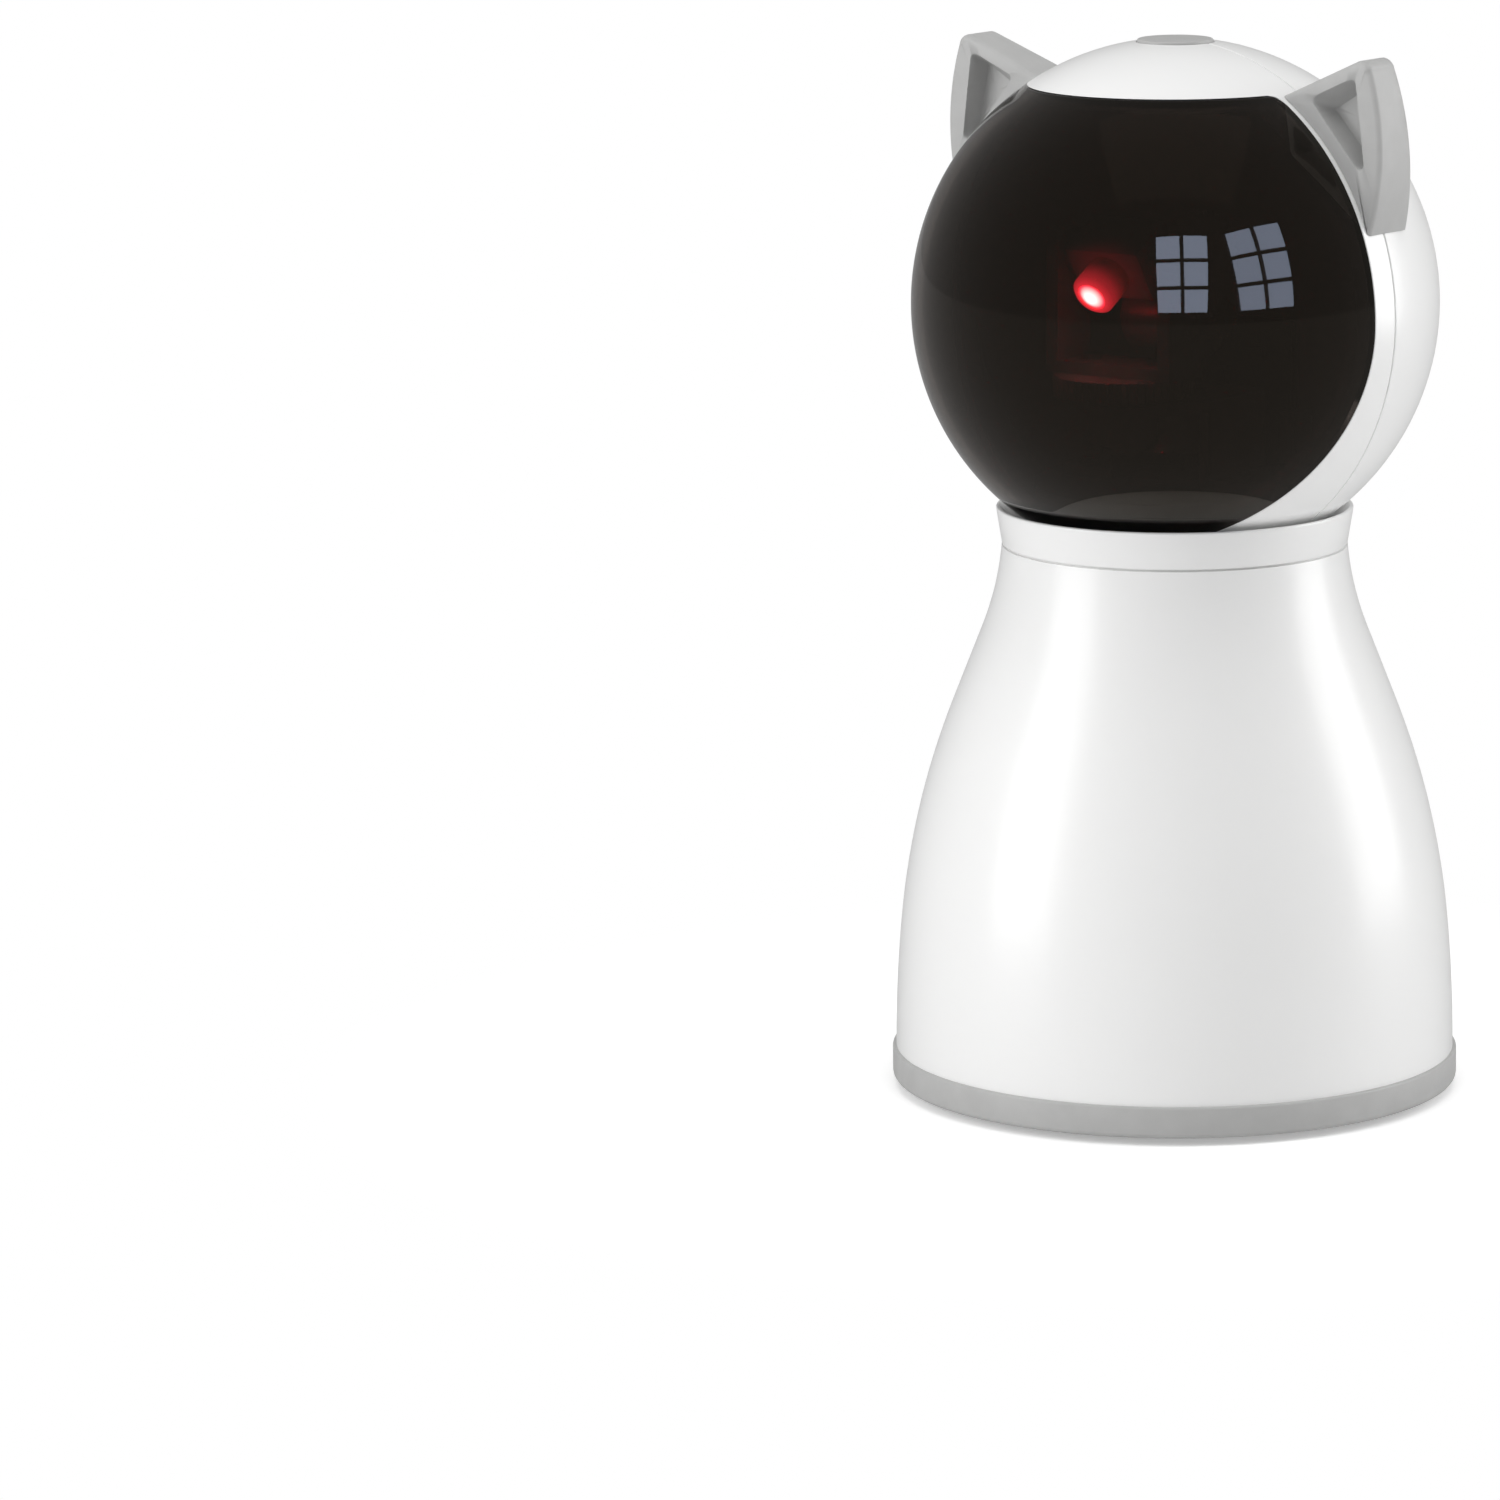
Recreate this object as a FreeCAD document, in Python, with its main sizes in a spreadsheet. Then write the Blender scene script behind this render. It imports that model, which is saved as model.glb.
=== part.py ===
import FreeCAD, Part
import math
import os
import sys

import Sketcher
from FreeCAD import Placement, Rotation, Vector

sys.path.append(os.path.join(FreeCAD.getHomePath(), "Mod", "PartDesign"))
from fcgear import fcgear, involute

# Automatic cat laser toy: a waisted body shell on a grey base ring carries a round head that turns
# on the collar by hand. Behind the dark visor a laser module tips in a yoke that swings sideways,
# each moved by a small motor through a pinion. A press button sits on top of the head.
# The origin is on the ground under the middle of the base, +Z is up and the visor faces -Y.

# Driving sizes in millimetres, or degrees where the note says so.
SIZES = [
    ("foot_drop", 2.0, "how far the rubber feet stand below the bottom cover"),
    ("foot_radius", 5.5, "rubber foot"),
    ("foot_sink", 0.8, "depth of the foot's seat in the cover"),
    ("foot_inset", 9.5, "bore of the ring to the circle that the feet stand on"),
    ("foot_round", 0.6, "rounded lower edge of a foot"),
    ("seat_gap", 0.1, "clearance round a piece that sits in a moulded seat"),
    ("ring_proud", 0.65, "base ring beyond the lower edge of the body shell"),
    ("ring_bottom", 1.3, "lower edge of the base ring above the ground"),
    ("ring_height", 5.7, "grey band of the base ring"),
    ("ring_lip", 1.0, "rounded lower edge of the ring"),
    ("ring_round", 0.45, "rounded upper edge of the ring"),
    ("ring_section", 3.85, "lower edge of the body shell to the bore of the ring"),
    ("ledge_width", 1.9, "ledge of the ring over the bottom cover"),
    ("ledge_thickness", 1.6, "ledge of the ring over the bottom cover"),
    ("spigot_height", 2.5, "spigot of the ring inside the body shell"),
    ("spigot_width", 2.0, "spigot of the ring inside the body shell"),
    ("cover_thickness", 2.0, "bottom cover"),
    ("cover_gap", 0.2, "bottom cover and spigot to their neighbours"),
    ("body_foot_radius", 50.35, "body shell at its lower edge"),
    ("body_hip_radius", 49.15, "body shell at the hip"),
    ("body_hip_height", 31.4, "height of the hip"),
    ("body_waist_radius", 39.85, "body shell at the waist"),
    ("body_waist_height", 70.0, "height of the waist, where the straight flank starts"),
    ("body_neck_height", 83.55, "height where the straight flank turns into the neck"),
    ("body_top_radius", 30.95, "body shell at its upper edge"),
    ("body_top_height", 98.6, "upper edge of the body shell"),
    ("body_wall", 2.2, "wall of the body shell, measured level"),
    ("shelf_thickness", 2.2, "shelf at the top of the body shell"),
    ("shelf_bore", 25.0, "opening of the shelf"),
    ("post_radius", 3.2, "screw posts of the body shell"),
    ("post_gap", 0.4, "screw posts to the ring's ledge"),
    ("post_height", 70.0, "height up to which the posts run, if the shell does not stop them"),
    ("post_pilot_depth", 9.0, "blind hole in a screw post"),
    ("screw_radius", 1.15, "thread of the large screws"),
    ("screw_head_radius", 2.5, "head of the large screws"),
    ("screw_head_height", 1.0, "head of the large screws"),
    ("screw_length", 9.0, "large screws under the head"),
    ("small_screw_radius", 0.85, "thread of the small screws"),
    ("small_head_radius", 1.6, "head of the small screws"),
    ("small_head_height", 1.0, "head of the small screws"),
    ("thread_gap", 0.05, "screw thread to its pilot hole"),
    ("hole_gap", 0.25, "screw to the hole it passes through"),
    ("cross_width", 0.5, "cross recess of a screw head"),
    ("port_width", 12.4, "plug recess at the back of the body"),
    ("port_height", 6.9, "plug recess at the back of the body"),
    ("port_depth", 3.9, "floor of the plug recess behind the widest part of the body"),
    ("port_wall", 1.6, "wall round the plug recess"),
    ("socket_width", 8.94, "charging socket"),
    ("socket_height", 3.2, "charging socket"),
    ("socket_length", 7.35, "charging socket"),
    ("socket_shell", 0.3, "metal wall of the charging socket"),
    ("socket_bore_depth", 6.2, "mouth of the charging socket"),
    ("tongue_width", 6.7, "contact tongue in the socket"),
    ("tongue_height", 0.7, "contact tongue in the socket"),
    ("tongue_length", 5.0, "contact tongue in the socket"),
    ("socket_gap", 0.18, "charging socket to its opening in the recess floor"),
    ("socket_back", 0.4, "mouth of the charging socket behind the recess floor"),
    ("standoff_height", 8.0, "board standoffs on the bottom cover"),
    ("standoff_radius", 2.4, "board standoffs on the bottom cover"),
    ("board_thickness", 1.6, "both larger circuit boards"),
    ("board_width", 32.0, "main board across the body"),
    ("board_length", 30.5, "main board front to back"),
    ("board_margin", 3.2, "screws to the sides and the front edge of the main board"),
    ("board_back_margin", 4.8, "screws to the rear edge of the main board"),
    ("board_clearance", 0.3, "main board to the plug recess"),
    ("chip_height", 1.2, "chips on the boards"),
    ("plug_width", 7.5, "lead plug on the main board, across"),
    ("plug_depth", 5.5, "lead plug on the main board, front to back"),
    ("plug_height", 6.0, "lead plug on the main board"),
    ("plug_inset", 5.0, "lead plug to the front edge of the main board"),
    ("cell_radius", 9.2, "rechargeable cell"),
    ("cell_length", 65.0, "rechargeable cell"),
    ("cell_forward", 12.0, "axis of the cell in front of the middle"),
    ("cell_cap_radius", 3.6, "raised end of the cell"),
    ("cell_cap_height", 0.8, "raised end of the cell"),
    ("cradle_floor", 1.2, "floor of the cell cradle"),
    ("cradle_length", 58.0, "cell cradle"),
    ("cradle_width", 16.0, "floor of the cell cradle"),
    ("saddle_width", 21.0, "saddles of the cell cradle"),
    ("saddle_height", 7.6, "saddles of the cell cradle"),
    ("saddle_length", 4.5, "saddles of the cell cradle"),
    ("saddle_spacing", 40.0, "distance between the two saddles"),
    ("cradle_tab", 6.5, "screw tabs of the cradle beyond the saddle"),
    ("cradle_tab_width", 6.0, "screw tabs of the cradle"),
    ("cradle_screw_length", 4.0, "screws of the cell cradle"),
    ("cradle_pilot_depth", 1.7, "blind holes for those screws in the cover"),
    ("board_screw_length", 6.0, "screws of the main board"),
    ("cell_gap", 0.06, "cell to its saddles"),
    ("lead_radius", 1.6, "lead up the neck"),
    ("lead_straight", 4.5, "straight run of the lead above its plug"),
    ("collar_foot_radius", 30.9, "collar at its lower edge"),
    ("collar_rim_radius", 32.0, "collar just under its rim"),
    ("collar_height", 7.1, "collar over the body shell"),
    ("rim_round", 0.35, "rounded rim of the collar"),
    ("collar_bore", 31.3, "rim of the collar around the head"),
    ("collar_groove_height", 0.4, "groove between collar and body shell"),
    ("collar_groove_depth", 0.6, "groove between collar and body shell"),
    ("bowl_gap", 1.0, "running gap between the head and the collar's bowl"),
    ("bowl_wall", 2.0, "wall of the collar's bowl"),
    ("hub_radius", 13.5, "bearing hub of the collar"),
    ("hub_face_radius", 12.3, "flat on top of the bearing hub"),
    ("collar_screw_length", 4.6, "screws of the collar under the head"),
    ("collar_pilot_depth", 2.8, "blind holes under the collar"),
    ("hub_length", 6.3, "bearing hub of the collar"),
    ("bearing_gap", 0.06, "radial clearance of every running fit"),
    ("stop_reach", 2.8, "stop lugs and stop tab beyond the hub"),
    ("stop_width", 3.0, "stop lugs under the collar's hub"),
    ("turn_limit", 90.0, "how far the head turns each way, degrees"),
    ("turn_margin", 0.8, "angle left before the stops meet, degrees"),
    ("neck_radius", 10.0, "neck tube of the head"),
    ("neck_bore", 6.8, "bore of the neck tube"),
    ("shoulder_radius", 11.8, "shoulder of the neck tube on the hub"),
    ("shoulder_height", 3.4, "shoulder of the neck tube on the hub"),
    ("washer_thickness", 1.0, "friction washer"),
    ("washer_radius", 12.6, "friction washer"),
    ("retainer_thickness", 1.5, "neck retainer"),
    ("retainer_radius", 12.9, "neck retainer"),
    ("retainer_screw_length", 5.0, "screws of the neck retainer"),
    ("deck_radius", 25.2, "deck of the head chassis"),
    ("deck_gap", 0.8, "rim of the deck to the head shell"),
    ("deck_thickness", 2.4, "deck of the head chassis"),
    ("ball_radius", 47.0, "round head"),
    ("shell_wall", 2.2, "wall of the head shells"),
    ("parting_gap", 0.3, "joint line between the front and rear head shell"),
    ("neck_opening_gap", 0.3, "opening of the head shells round the shoulder"),
    ("pad_offset", 14.0, "screw pads of the head shells from the middle, both ways"),
    ("pad_radius", 3.2, "screw pads of the head shells"),
    ("shell_screw_bite", 2.0, "screws of the head shells inside the deck"),
    ("lip_wall", 1.5, "locating lip of the front head shell inside the rear one"),
    ("lip_reach", 1.4, "how far the lip reaches into the rear head shell"),
    ("lip_root", 2.6, "how far the lip reaches back into the front head shell"),
    ("lip_low", 18.0, "lower end of the lip under the middle of the head"),
    ("lip_break", 10.5, "half width of the gap in the lip under the button"),
    ("visor_wall", 2.0, "visor"),
    ("visor_top", 38.95, "upper edge of the visor over the middle of the head"),
    ("visor_edge", 5.7, "side edge of the visor in front of the joint line"),
    ("visor_sweep", 58.0, "radius of the visor's forward sweep low down"),
    ("visor_corner", 1.8, "rounded upper corner of the visor"),
    ("visor_gap", 0.15, "visor to the front head shell"),
    ("ledge_reach", 3.0, "ledge behind the visor's edge, each way"),
    ("ledge_wall", 1.8, "ledge behind the visor's edge"),
    ("ear_front", 4.8, "front face of the ears in front of the joint line"),
    ("ear_back", 7.0, "back of the ears behind the joint line, at their root"),
    ("ear_apex_across", 43.6, "sharp tip of the ears, across"),
    ("ear_apex_up", 46.5, "sharp tip of the ears over the middle of the head"),
    ("ear_inner_across", 26.25, "inner end of the ears' upper edge, across"),
    ("ear_inner_up", 38.74, "inner end of the ears' upper edge over the middle of the head"),
    ("ear_lower_across", 44.5, "lower end of the ears' outer side, across"),
    ("ear_lower_up", 15.4, "lower end of the ears over the middle of the head"),
    ("ear_bulge", 47.4, "radius of the ears' outer side"),
    ("ear_tilt", 47.5, "direction of the ears above level, degrees"),
    ("ear_lean", 10.1, "slope of the ears' back, degrees"),
    ("ear_lean_start", 41.0, "distance from the middle where the slope starts"),
    ("ear_tip_round", 2.2, "rounded tip of the ears"),
    ("ear_heel_round", 0.8, "rounded lower corner of the ears"),
    ("ear_edge_round", 1.0, "rounded front edge of the ears"),
    ("glue_gap", 0.05, "glued pieces to what they sit on"),
    ("pocket_depth", 4.4, "sunken front face of the ears"),
    ("pocket_top_across", 41.3, "upper corner of the pocket, across"),
    ("pocket_top_up", 42.7, "upper corner of the pocket, up"),
    ("pocket_inner_across", 32.2, "inner corner of the pocket, across"),
    ("pocket_inner_up", 38.6, "inner corner of the pocket, up"),
    ("pocket_low_across", 43.5, "lower corner of the pocket, across"),
    ("pocket_low_up", 25.1, "lower corner of the pocket, up"),
    ("pocket_draft", 0.5, "how far the sides of the pocket lean in"),
    ("pocket_slope", 2.0, "how far the upper side of the pocket leans in"),
    ("peg_radius", 1.6, "pegs of the ears"),
    ("peg_back", 3.5, "pegs of the ears behind the joint line"),
    ("peg_tilt", 40.0, "direction of the pegs above level, degrees"),
    ("peg_spacing", 15.0, "distance between the two pegs"),
    ("peg_start", 42.3, "inner end of the pegs from the middle"),
    ("peg_end", 48.5, "outer end of the pegs, inside the ear"),
    ("button_radius", 6.8, "press button"),
    ("button_gap", 0.15, "press button to its hole"),
    ("button_round", 0.3, "rounded rim of the button"),
    ("button_travel", 0.5, "travel of the button"),
    ("flange_radius", 8.0, "flange under the button"),
    ("flange_thickness", 1.2, "flange under the button"),
    ("flange_gap", 0.25, "flange to the inside of the shells"),
    ("stem_radius", 2.0, "stem of the button"),
    ("switch_width", 6.0, "tact switch"),
    ("switch_height", 3.4, "tact switch"),
    ("plunger_radius", 1.7, "plunger of the tact switch"),
    ("plunger_out", 1.0, "plunger over the switch"),
    ("plunger_in", 0.8, "plunger inside the switch"),
    ("button_board_drop", 2.7, "stem of the button under its flange"),
    ("button_board_width", 24.0, "button board, across"),
    ("button_board_front", 6.0, "button board in front of the joint line"),
    ("button_board_back", 9.0, "button board behind the joint line"),
    ("button_board_thickness", 1.2, "button board"),
    ("boss_across", 9.6, "bosses of the button board, across"),
    ("boss_back", 5.6, "bosses of the button board behind the joint line"),
    ("boss_radius", 2.1, "bosses of the button board"),
    ("boss_pilot_depth", 4.0, "blind holes in those bosses"),
    ("boss_screw_length", 4.8, "screws of the button board"),
    ("frame_height", 16.0, "platform of the mechanism frame over the deck"),
    ("frame_thickness", 2.0, "platform, legs and feet of the mechanism frame"),
    ("frame_half_width", 11.5, "half width of the mechanism frame"),
    ("frame_front", 6.0, "legs of the frame in front of the middle"),
    ("frame_back", 12.0, "legs of the frame behind the middle"),
    ("frame_foot", 9.0, "feet of the frame beyond its legs"),
    ("frame_screw_across", 16.6, "screws of the frame, across"),
    ("frame_screw_front", 3.0, "front screws of the frame in front of the middle"),
    ("frame_screw_back", 9.0, "rear screws of the frame behind the middle"),
    ("frame_screw_length", 4.0, "screws of the frame under the head"),
    ("deck_pilot_depth", 2.1, "blind holes in the deck"),
    ("neck_pilot_depth", 4.0, "blind holes in the end of the neck tube"),
    ("pan_forward", 15.6, "pan axis in front of the middle"),
    ("gear_module", 0.5, "module of all gears"),
    ("pressure_angle", 25.0, "pressure angle of all gears, degrees"),
    ("gear_backlash", 0.06, "extra centre distance of the gears"),
    ("pinion_teeth", 12, "teeth of both pinions"),
    ("pan_teeth", 48, "teeth of the pan gear"),
    ("tilt_teeth", 36, "teeth of the tilt gear"),
    ("pan_gear_width", 3.5, "width of the pan gear"),
    ("tilt_gear_width", 3.0, "width of the tilt gear"),
    ("pan_gear_lift", 1.6, "pan gear over the platform"),
    ("pan_hub_radius", 5.0, "shoulder of the pan gear on the platform"),
    ("journal_radius", 3.5, "journal of the pan gear in the platform"),
    ("journal_bore", 1.6, "hollow of the pan gear's journal"),
    ("bearing_length", 7.0, "bearing of the pan gear's journal"),
    ("bearing_wall", 2.4, "wall of that bearing"),
    ("clip_radius", 5.2, "retaining ring of the pan gear"),
    ("clip_thickness", 0.7, "retaining ring of the pan gear"),
    ("clip_groove", 0.5, "depth of the groove for the retaining ring"),
    ("clip_gap", 0.15, "retaining ring to the bearing's end"),
    ("journal_end", 0.9, "journal below its retaining ring"),
    ("pan_motor_radius", 7.5, "pan motor"),
    ("pan_motor_length", 8.0, "pan motor"),
    ("motor_screw_offset", 5.4, "screws of the pan motor from its axis"),
    ("motor_screw_length", 4.0, "motor screws under the head"),
    ("motor_pilot_depth", 2.6, "blind holes in the motors"),
    ("shaft_radius", 0.75, "shaft of both motors"),
    ("shaft_sink", 3.0, "shaft inside the motor"),
    ("shaft_hole_radius", 2.0, "hole for a motor shaft in the platform and the yoke"),
    ("pinion_gap", 0.3, "end face of a pinion to what it runs over"),
    ("yoke_inner", 10.75, "inside of the yoke's arms from the middle"),
    ("yoke_wall", 2.5, "arms of the yoke"),
    ("yoke_base", 2.2, "base of the yoke"),
    ("yoke_depth", 10.0, "base and arms of the yoke, front to back"),
    ("yoke_screw_offset", 7.0, "screws of the yoke from the pan axis"),
    ("yoke_screw_length", 4.6, "screws of the yoke under the head"),
    ("tilt_rise", 20.65, "tilt axis over the pan gear"),
    ("tilt_pinion_drop", 60.0, "direction of the tilt pinion under level, degrees"),
    ("tilt_motor_radius", 6.0, "tilt motor"),
    ("tilt_motor_length", 11.5, "tilt motor"),
    ("tilt_screw_offset", 4.6, "screws of the tilt motor from its axis"),
    ("motor_rim", 1.0, "yoke arm around the tilt motor"),
    ("pivot_radius", 2.0, "pivot pins of the laser cradle"),
    ("pivot_sink", 4.0, "pivot pins inside the cradle"),
    ("pivot_wall", 2.8, "yoke arm around a pivot pin"),
    ("gear_offset", 1.5, "tilt gear to the yoke's arm"),
    ("cradle_half_width", 7.6, "laser cradle, half width"),
    ("cradle_boss_radius", 3.4, "side bosses of the laser cradle"),
    ("cradle_side_gap", 0.35, "side bosses of the cradle to the yoke's arms"),
    ("cradle_block", 10.0, "laser cradle, height and length"),
    ("laser_radius", 4.0, "laser module"),
    ("laser_front", 11.3, "laser module in front of the tilt axis"),
    ("laser_back", 5.4, "laser module behind the tilt axis"),
    ("laser_chamfer", 0.7, "chamfer of the laser module"),
    ("fit_gap", 0.02, "radial clearance of pressed and glued round pieces"),
    ("lens_radius", 2.6, "laser lens"),
    ("lens_sink", 1.4, "seat of the lens in the module"),
    ("lens_edge", 1.2, "straight edge of the lens"),
    ("lens_crown", 0.7, "bulge of the lens"),
    ("laser_drop", 32.0, "how far the laser points below level at rest, degrees"),
    ("head_board_back", 15.0, "head board behind the middle"),
    ("head_board_width", 30.0, "head board"),
    ("head_board_height", 28.0, "head board"),
    ("guide_height", 12.0, "guides of the head board"),
    ("guide_wall", 2.0, "guides of the head board"),
    ("guide_reach", 1.2, "how far the guides reach over the board's edge"),
    ("guide_gap", 0.1, "head board to its guides"),
    ("neck_plug_length", 4.0, "neck plug inside the neck tube"),
    ("neck_plug_flange", 8.4, "flange of the neck plug"),
    ("neck_plug_thickness", 1.4, "flange of the neck plug"),
    ("neck_plug_gap", 0.1, "neck plug to the bore of the neck tube"),
    ("head_lead_radius", 1.1, "lead from the neck plug to the head board"),
    ("head_lead_bend", 2.6, "bend radius of that lead"),
    ("head_lead_offset", 4.0, "where that lead leaves the neck plug, behind the middle"),
    ("head_plug_depth", 3.4, "plug of that lead on the head board"),
]

doc = FreeCAD.newDocument("cat_laser_toy")
sheet = doc.addObject("Spreadsheet::Sheet", "Sizes")


class Size:
    """A number that also carries the sheet formula it comes from."""

    def __init__(self, value, formula):
        self.value = value
        self.formula = formula

    def __add__(self, other):
        other = as_size(other)
        return Size(self.value + other.value, f"({self.formula} + {other.formula})")

    def __sub__(self, other):
        other = as_size(other)
        return Size(self.value - other.value, f"({self.formula} - {other.formula})")

    def __mul__(self, other):
        other = as_size(other)
        return Size(self.value * other.value, f"{self.formula} * {other.formula}")

    def __truediv__(self, other):
        other = as_size(other)
        return Size(self.value / other.value, f"{self.formula} / ({other.formula})")

    def __neg__(self):
        return Size(-self.value, f"(0 - {self.formula})")

    def __rsub__(self, other):
        return as_size(other) - self

    __radd__ = __add__
    __rmul__ = __mul__


def as_size(number):
    if isinstance(number, Size):
        return number
    return Size(float(number), repr(float(number)))


def root(number):
    return Size(math.sqrt(number.value), f"sqrt({number.formula})")


def side(long_side, short_side):
    """Third side of a right triangle from its longest and one other side."""
    return root(long_side * long_side - short_side * short_side)


def sine(angle):
    return Size(math.sin(math.radians(angle.value)), f"sin({angle.formula})")


def cosine(angle):
    return Size(math.cos(math.radians(angle.value)), f"cos({angle.formula})")


def arcsine(number):
    return Size(math.degrees(math.asin(number.value)), f"asin({number.formula}) / (1 deg)")


def fill_sheet():
    """Write the driving sizes to the sheet and return them by name."""
    sizes = {}
    for row, (name, value, note) in enumerate(SIZES, start=1):
        sheet.set(f"A{row}", name)
        sheet.set(f"B{row}", str(value))
        sheet.set(f"C{row}", note)
        sheet.setAlias(f"B{row}", name)
        sizes[name] = Size(float(value), f"Sizes.{name}")
    return sizes


S = fill_sheet()
doc.recompute()
derived = doc.addObject("App::VarSet", "Derived")


def derive(name, number):
    """Keep a size that follows from the driving ones under a name of its own."""
    derived.addProperty("App::PropertyFloat", name)
    derived.setExpression(name, number.formula)
    return Size(number.value, f"Derived.{name}")


def bind(thing, prop, number):
    """Tie a property to the sheet."""
    number = as_size(number)
    thing.setExpression(prop, number.formula)


def place(thing, x=0, y=0, z=0, axis=None, angle=None):
    """Tie a sub-part's position, and its turn about one axis, to the sheet."""
    if axis is not None:
        thing.Placement = Placement(Vector(), Rotation(axis, angle.value))
        bind(thing, "Placement.Rotation.Angle", angle)
    for prop, number in (("x", x), ("y", y), ("z", z)):
        if isinstance(number, Size):
            bind(thing, f"Placement.Base.{prop}", number)
    return thing


def new_body(label):
    body = doc.addObject("PartDesign::Body", label)
    body.Label = label
    return body


def origin_plane(body, role):
    return next(item for item in body.Origin.OriginFeatures if item.Role == role)


class Drawing:
    """A sketch on one of its body's origin planes, with every corner tied to the sheet."""

    def __init__(self, body, name, plane="XY_Plane", lift=None, tilt=None):
        self.sketch = body.newObject("Sketcher::SketchObject", name)
        self.sketch.AttachmentSupport = [(origin_plane(body, plane), "")]
        self.sketch.MapMode = "FlatFace"
        if tilt is not None:
            axis, angle = tilt
            self.sketch.AttachmentOffset = Placement(Vector(), Rotation(axis, angle.value))
            bind(self.sketch, "AttachmentOffset.Rotation.Angle", angle)
        if lift is not None:
            bind(self.sketch, "AttachmentOffset.Base.z", lift)

    def rule(self, kind, *parts, number=None):
        """Add a constraint, tied to the sheet where it has a number."""
        if number is None:
            self.sketch.addConstraint(Sketcher.Constraint(kind, *parts))
            return
        number = as_size(number)
        index = self.sketch.addConstraint(Sketcher.Constraint(kind, *parts, number.value))
        if "." in number.formula:
            self.sketch.setExpression(f"Constraints[{index}]", number.formula)

    def pin(self, shape, point, x, y):
        """Hold one point of a shape at x, y from the sketch's origin."""
        if abs(as_size(x).value) < 1e-9:
            self.rule("PointOnObject", shape, point, -2)
        else:
            self.rule("DistanceX", -1, 1, shape, point, number=x)
        if abs(as_size(y).value) < 1e-9:
            self.rule("PointOnObject", shape, point, -1)
        else:
            self.rule("DistanceY", -1, 1, shape, point, number=y)

    def circle(self, x, y, radius):
        centre = Vector(as_size(x).value, as_size(y).value, 0)
        shape = self.sketch.addGeometry(Part.Circle(centre, Vector(0, 0, 1), radius.value), False)
        self.rule("Radius", shape, number=radius)
        self.pin(shape, 3, x, y)
        return self

    def loop(self, *corners, closed=True):
        """Draw straight and round edges from corner to corner.

        A corner is (x, y), reached by a straight edge, or (x, y, radius), reached by an arc with
        its centre on the left of the way for a positive radius and on the right for a negative one.
        """
        shapes = []
        last = len(corners) if closed else len(corners) - 1
        for number in range(last):
            start = corners[number]
            end = corners[(number + 1) % len(corners)]
            a = Vector(as_size(start[0]).value, as_size(start[1]).value, 0)
            b = Vector(as_size(end[0]).value, as_size(end[1]).value, 0)
            if len(end) == 2:
                shapes.append((self.sketch.addGeometry(Part.LineSegment(a, b), False), 1, 2))
                continue
            radius = as_size(end[2])
            chord = b - a
            rise = math.sqrt(max(radius.value ** 2 - (chord.Length / 2) ** 2, 0))
            left = Vector(-chord.y, chord.x, 0).normalize()
            turn = 1 if radius.value > 0 else -1
            centre = (a + b) * 0.5 + left * rise * turn
            first, second = (a, b) if turn > 0 else (b, a)
            angles = [math.atan2(p.y - centre.y, p.x - centre.x) for p in (first, second)]
            circle = Part.Circle(centre, Vector(0, 0, 1), abs(radius.value))
            arc = self.sketch.addGeometry(Part.ArcOfCircle(circle, angles[0], angles[1]), False)
            if rise > 1e-6:
                self.rule("Radius", arc, number=radius if turn > 0 else -radius)
            else:
                self.rule("Horizontal" if abs(chord.y) < 1e-9 else "Vertical", arc, 1, arc, 3)
            shapes.append((arc, 1, 2) if turn > 0 else (arc, 2, 1))
        for number, (shape, head, tail) in enumerate(shapes):
            self.pin(shape, head, *corners[number][:2])
            if closed or number + 1 < len(shapes):
                following, start, unused = shapes[(number + 1) % len(shapes)]
                self.rule("Coincident", shape, tail, following, start)
            else:
                self.pin(shape, tail, *corners[-1][:2])
        return self

    def rectangle(self, x, y, width, depth):
        """Rectangle about x, y."""
        x, y, width, depth = (as_size(number) for number in (x, y, width, depth))
        west, east = x - width / 2, x + width / 2
        south, north = y - depth / 2, y + depth / 2
        return self.loop((west, south), (east, south), (east, north), (west, north))


def grow(body, kind, drawing, length, reverse=False, both=False):
    """Pad or Pocket of a drawing, by a length or, for a pocket with none, right through."""
    feature = body.newObject(f"PartDesign::{kind}", f"{body.Label}_{kind.lower()}")
    feature.Profile = drawing.sketch
    if length is None:
        feature.Type = "ThroughAll"
    else:
        bind(feature, "Length", length)
    feature.Reversed = reverse
    if both:
        feature.SideType = "Symmetric"
    body.Tip = feature
    return feature


def pad(body, drawing, length, reverse=False, both=False):
    return grow(body, "Pad", drawing, length, reverse, both)


def pocket(body, drawing, length=None, reverse=False, both=False):
    return grow(body, "Pocket", drawing, length, reverse, both)


def turn(body, drawing, axis="V_Axis", kind="Revolution"):
    """Full revolution, or groove, of a drawing about one of its own axes."""
    feature = body.newObject(f"PartDesign::{kind}", f"{body.Label}_{kind.lower()}")
    feature.Profile = drawing.sketch
    feature.ReferenceAxis = (drawing.sketch, [axis])
    feature.Angle = 360
    body.Tip = feature
    return feature


def part_object(kind, label, **values):
    """A primitive of the Part module with its sizes tied to the sheet."""
    thing = doc.addObject(f"Part::{kind}", label)
    for prop, number in values.items():
        bind(thing, prop, number)
    return thing


def cut(label, base, tool):
    result = doc.addObject("Part::Cut", label)
    result.Base = base
    result.Tool = tool
    return result


def common(label, *shapes):
    result = doc.addObject("Part::MultiCommon", label)
    result.Shapes = list(shapes)
    return result


def fuse(label, *shapes):
    result = doc.addObject("Part::MultiFuse", label)
    result.Shapes = list(shapes)
    return result


def four(x, y):
    """Four points about the middle."""
    return [(x, y), (-x, y), (-x, -y), (x, -y)]


def ring_points(radius, count, first=0.0):
    """Points on a circle, first of them at an angle from +X in degrees."""
    points = []
    for number in range(count):
        angle = as_size(first + 360.0 * number / count)
        points.append((radius * cosine(angle), radius * sine(angle)))
    return points


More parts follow.
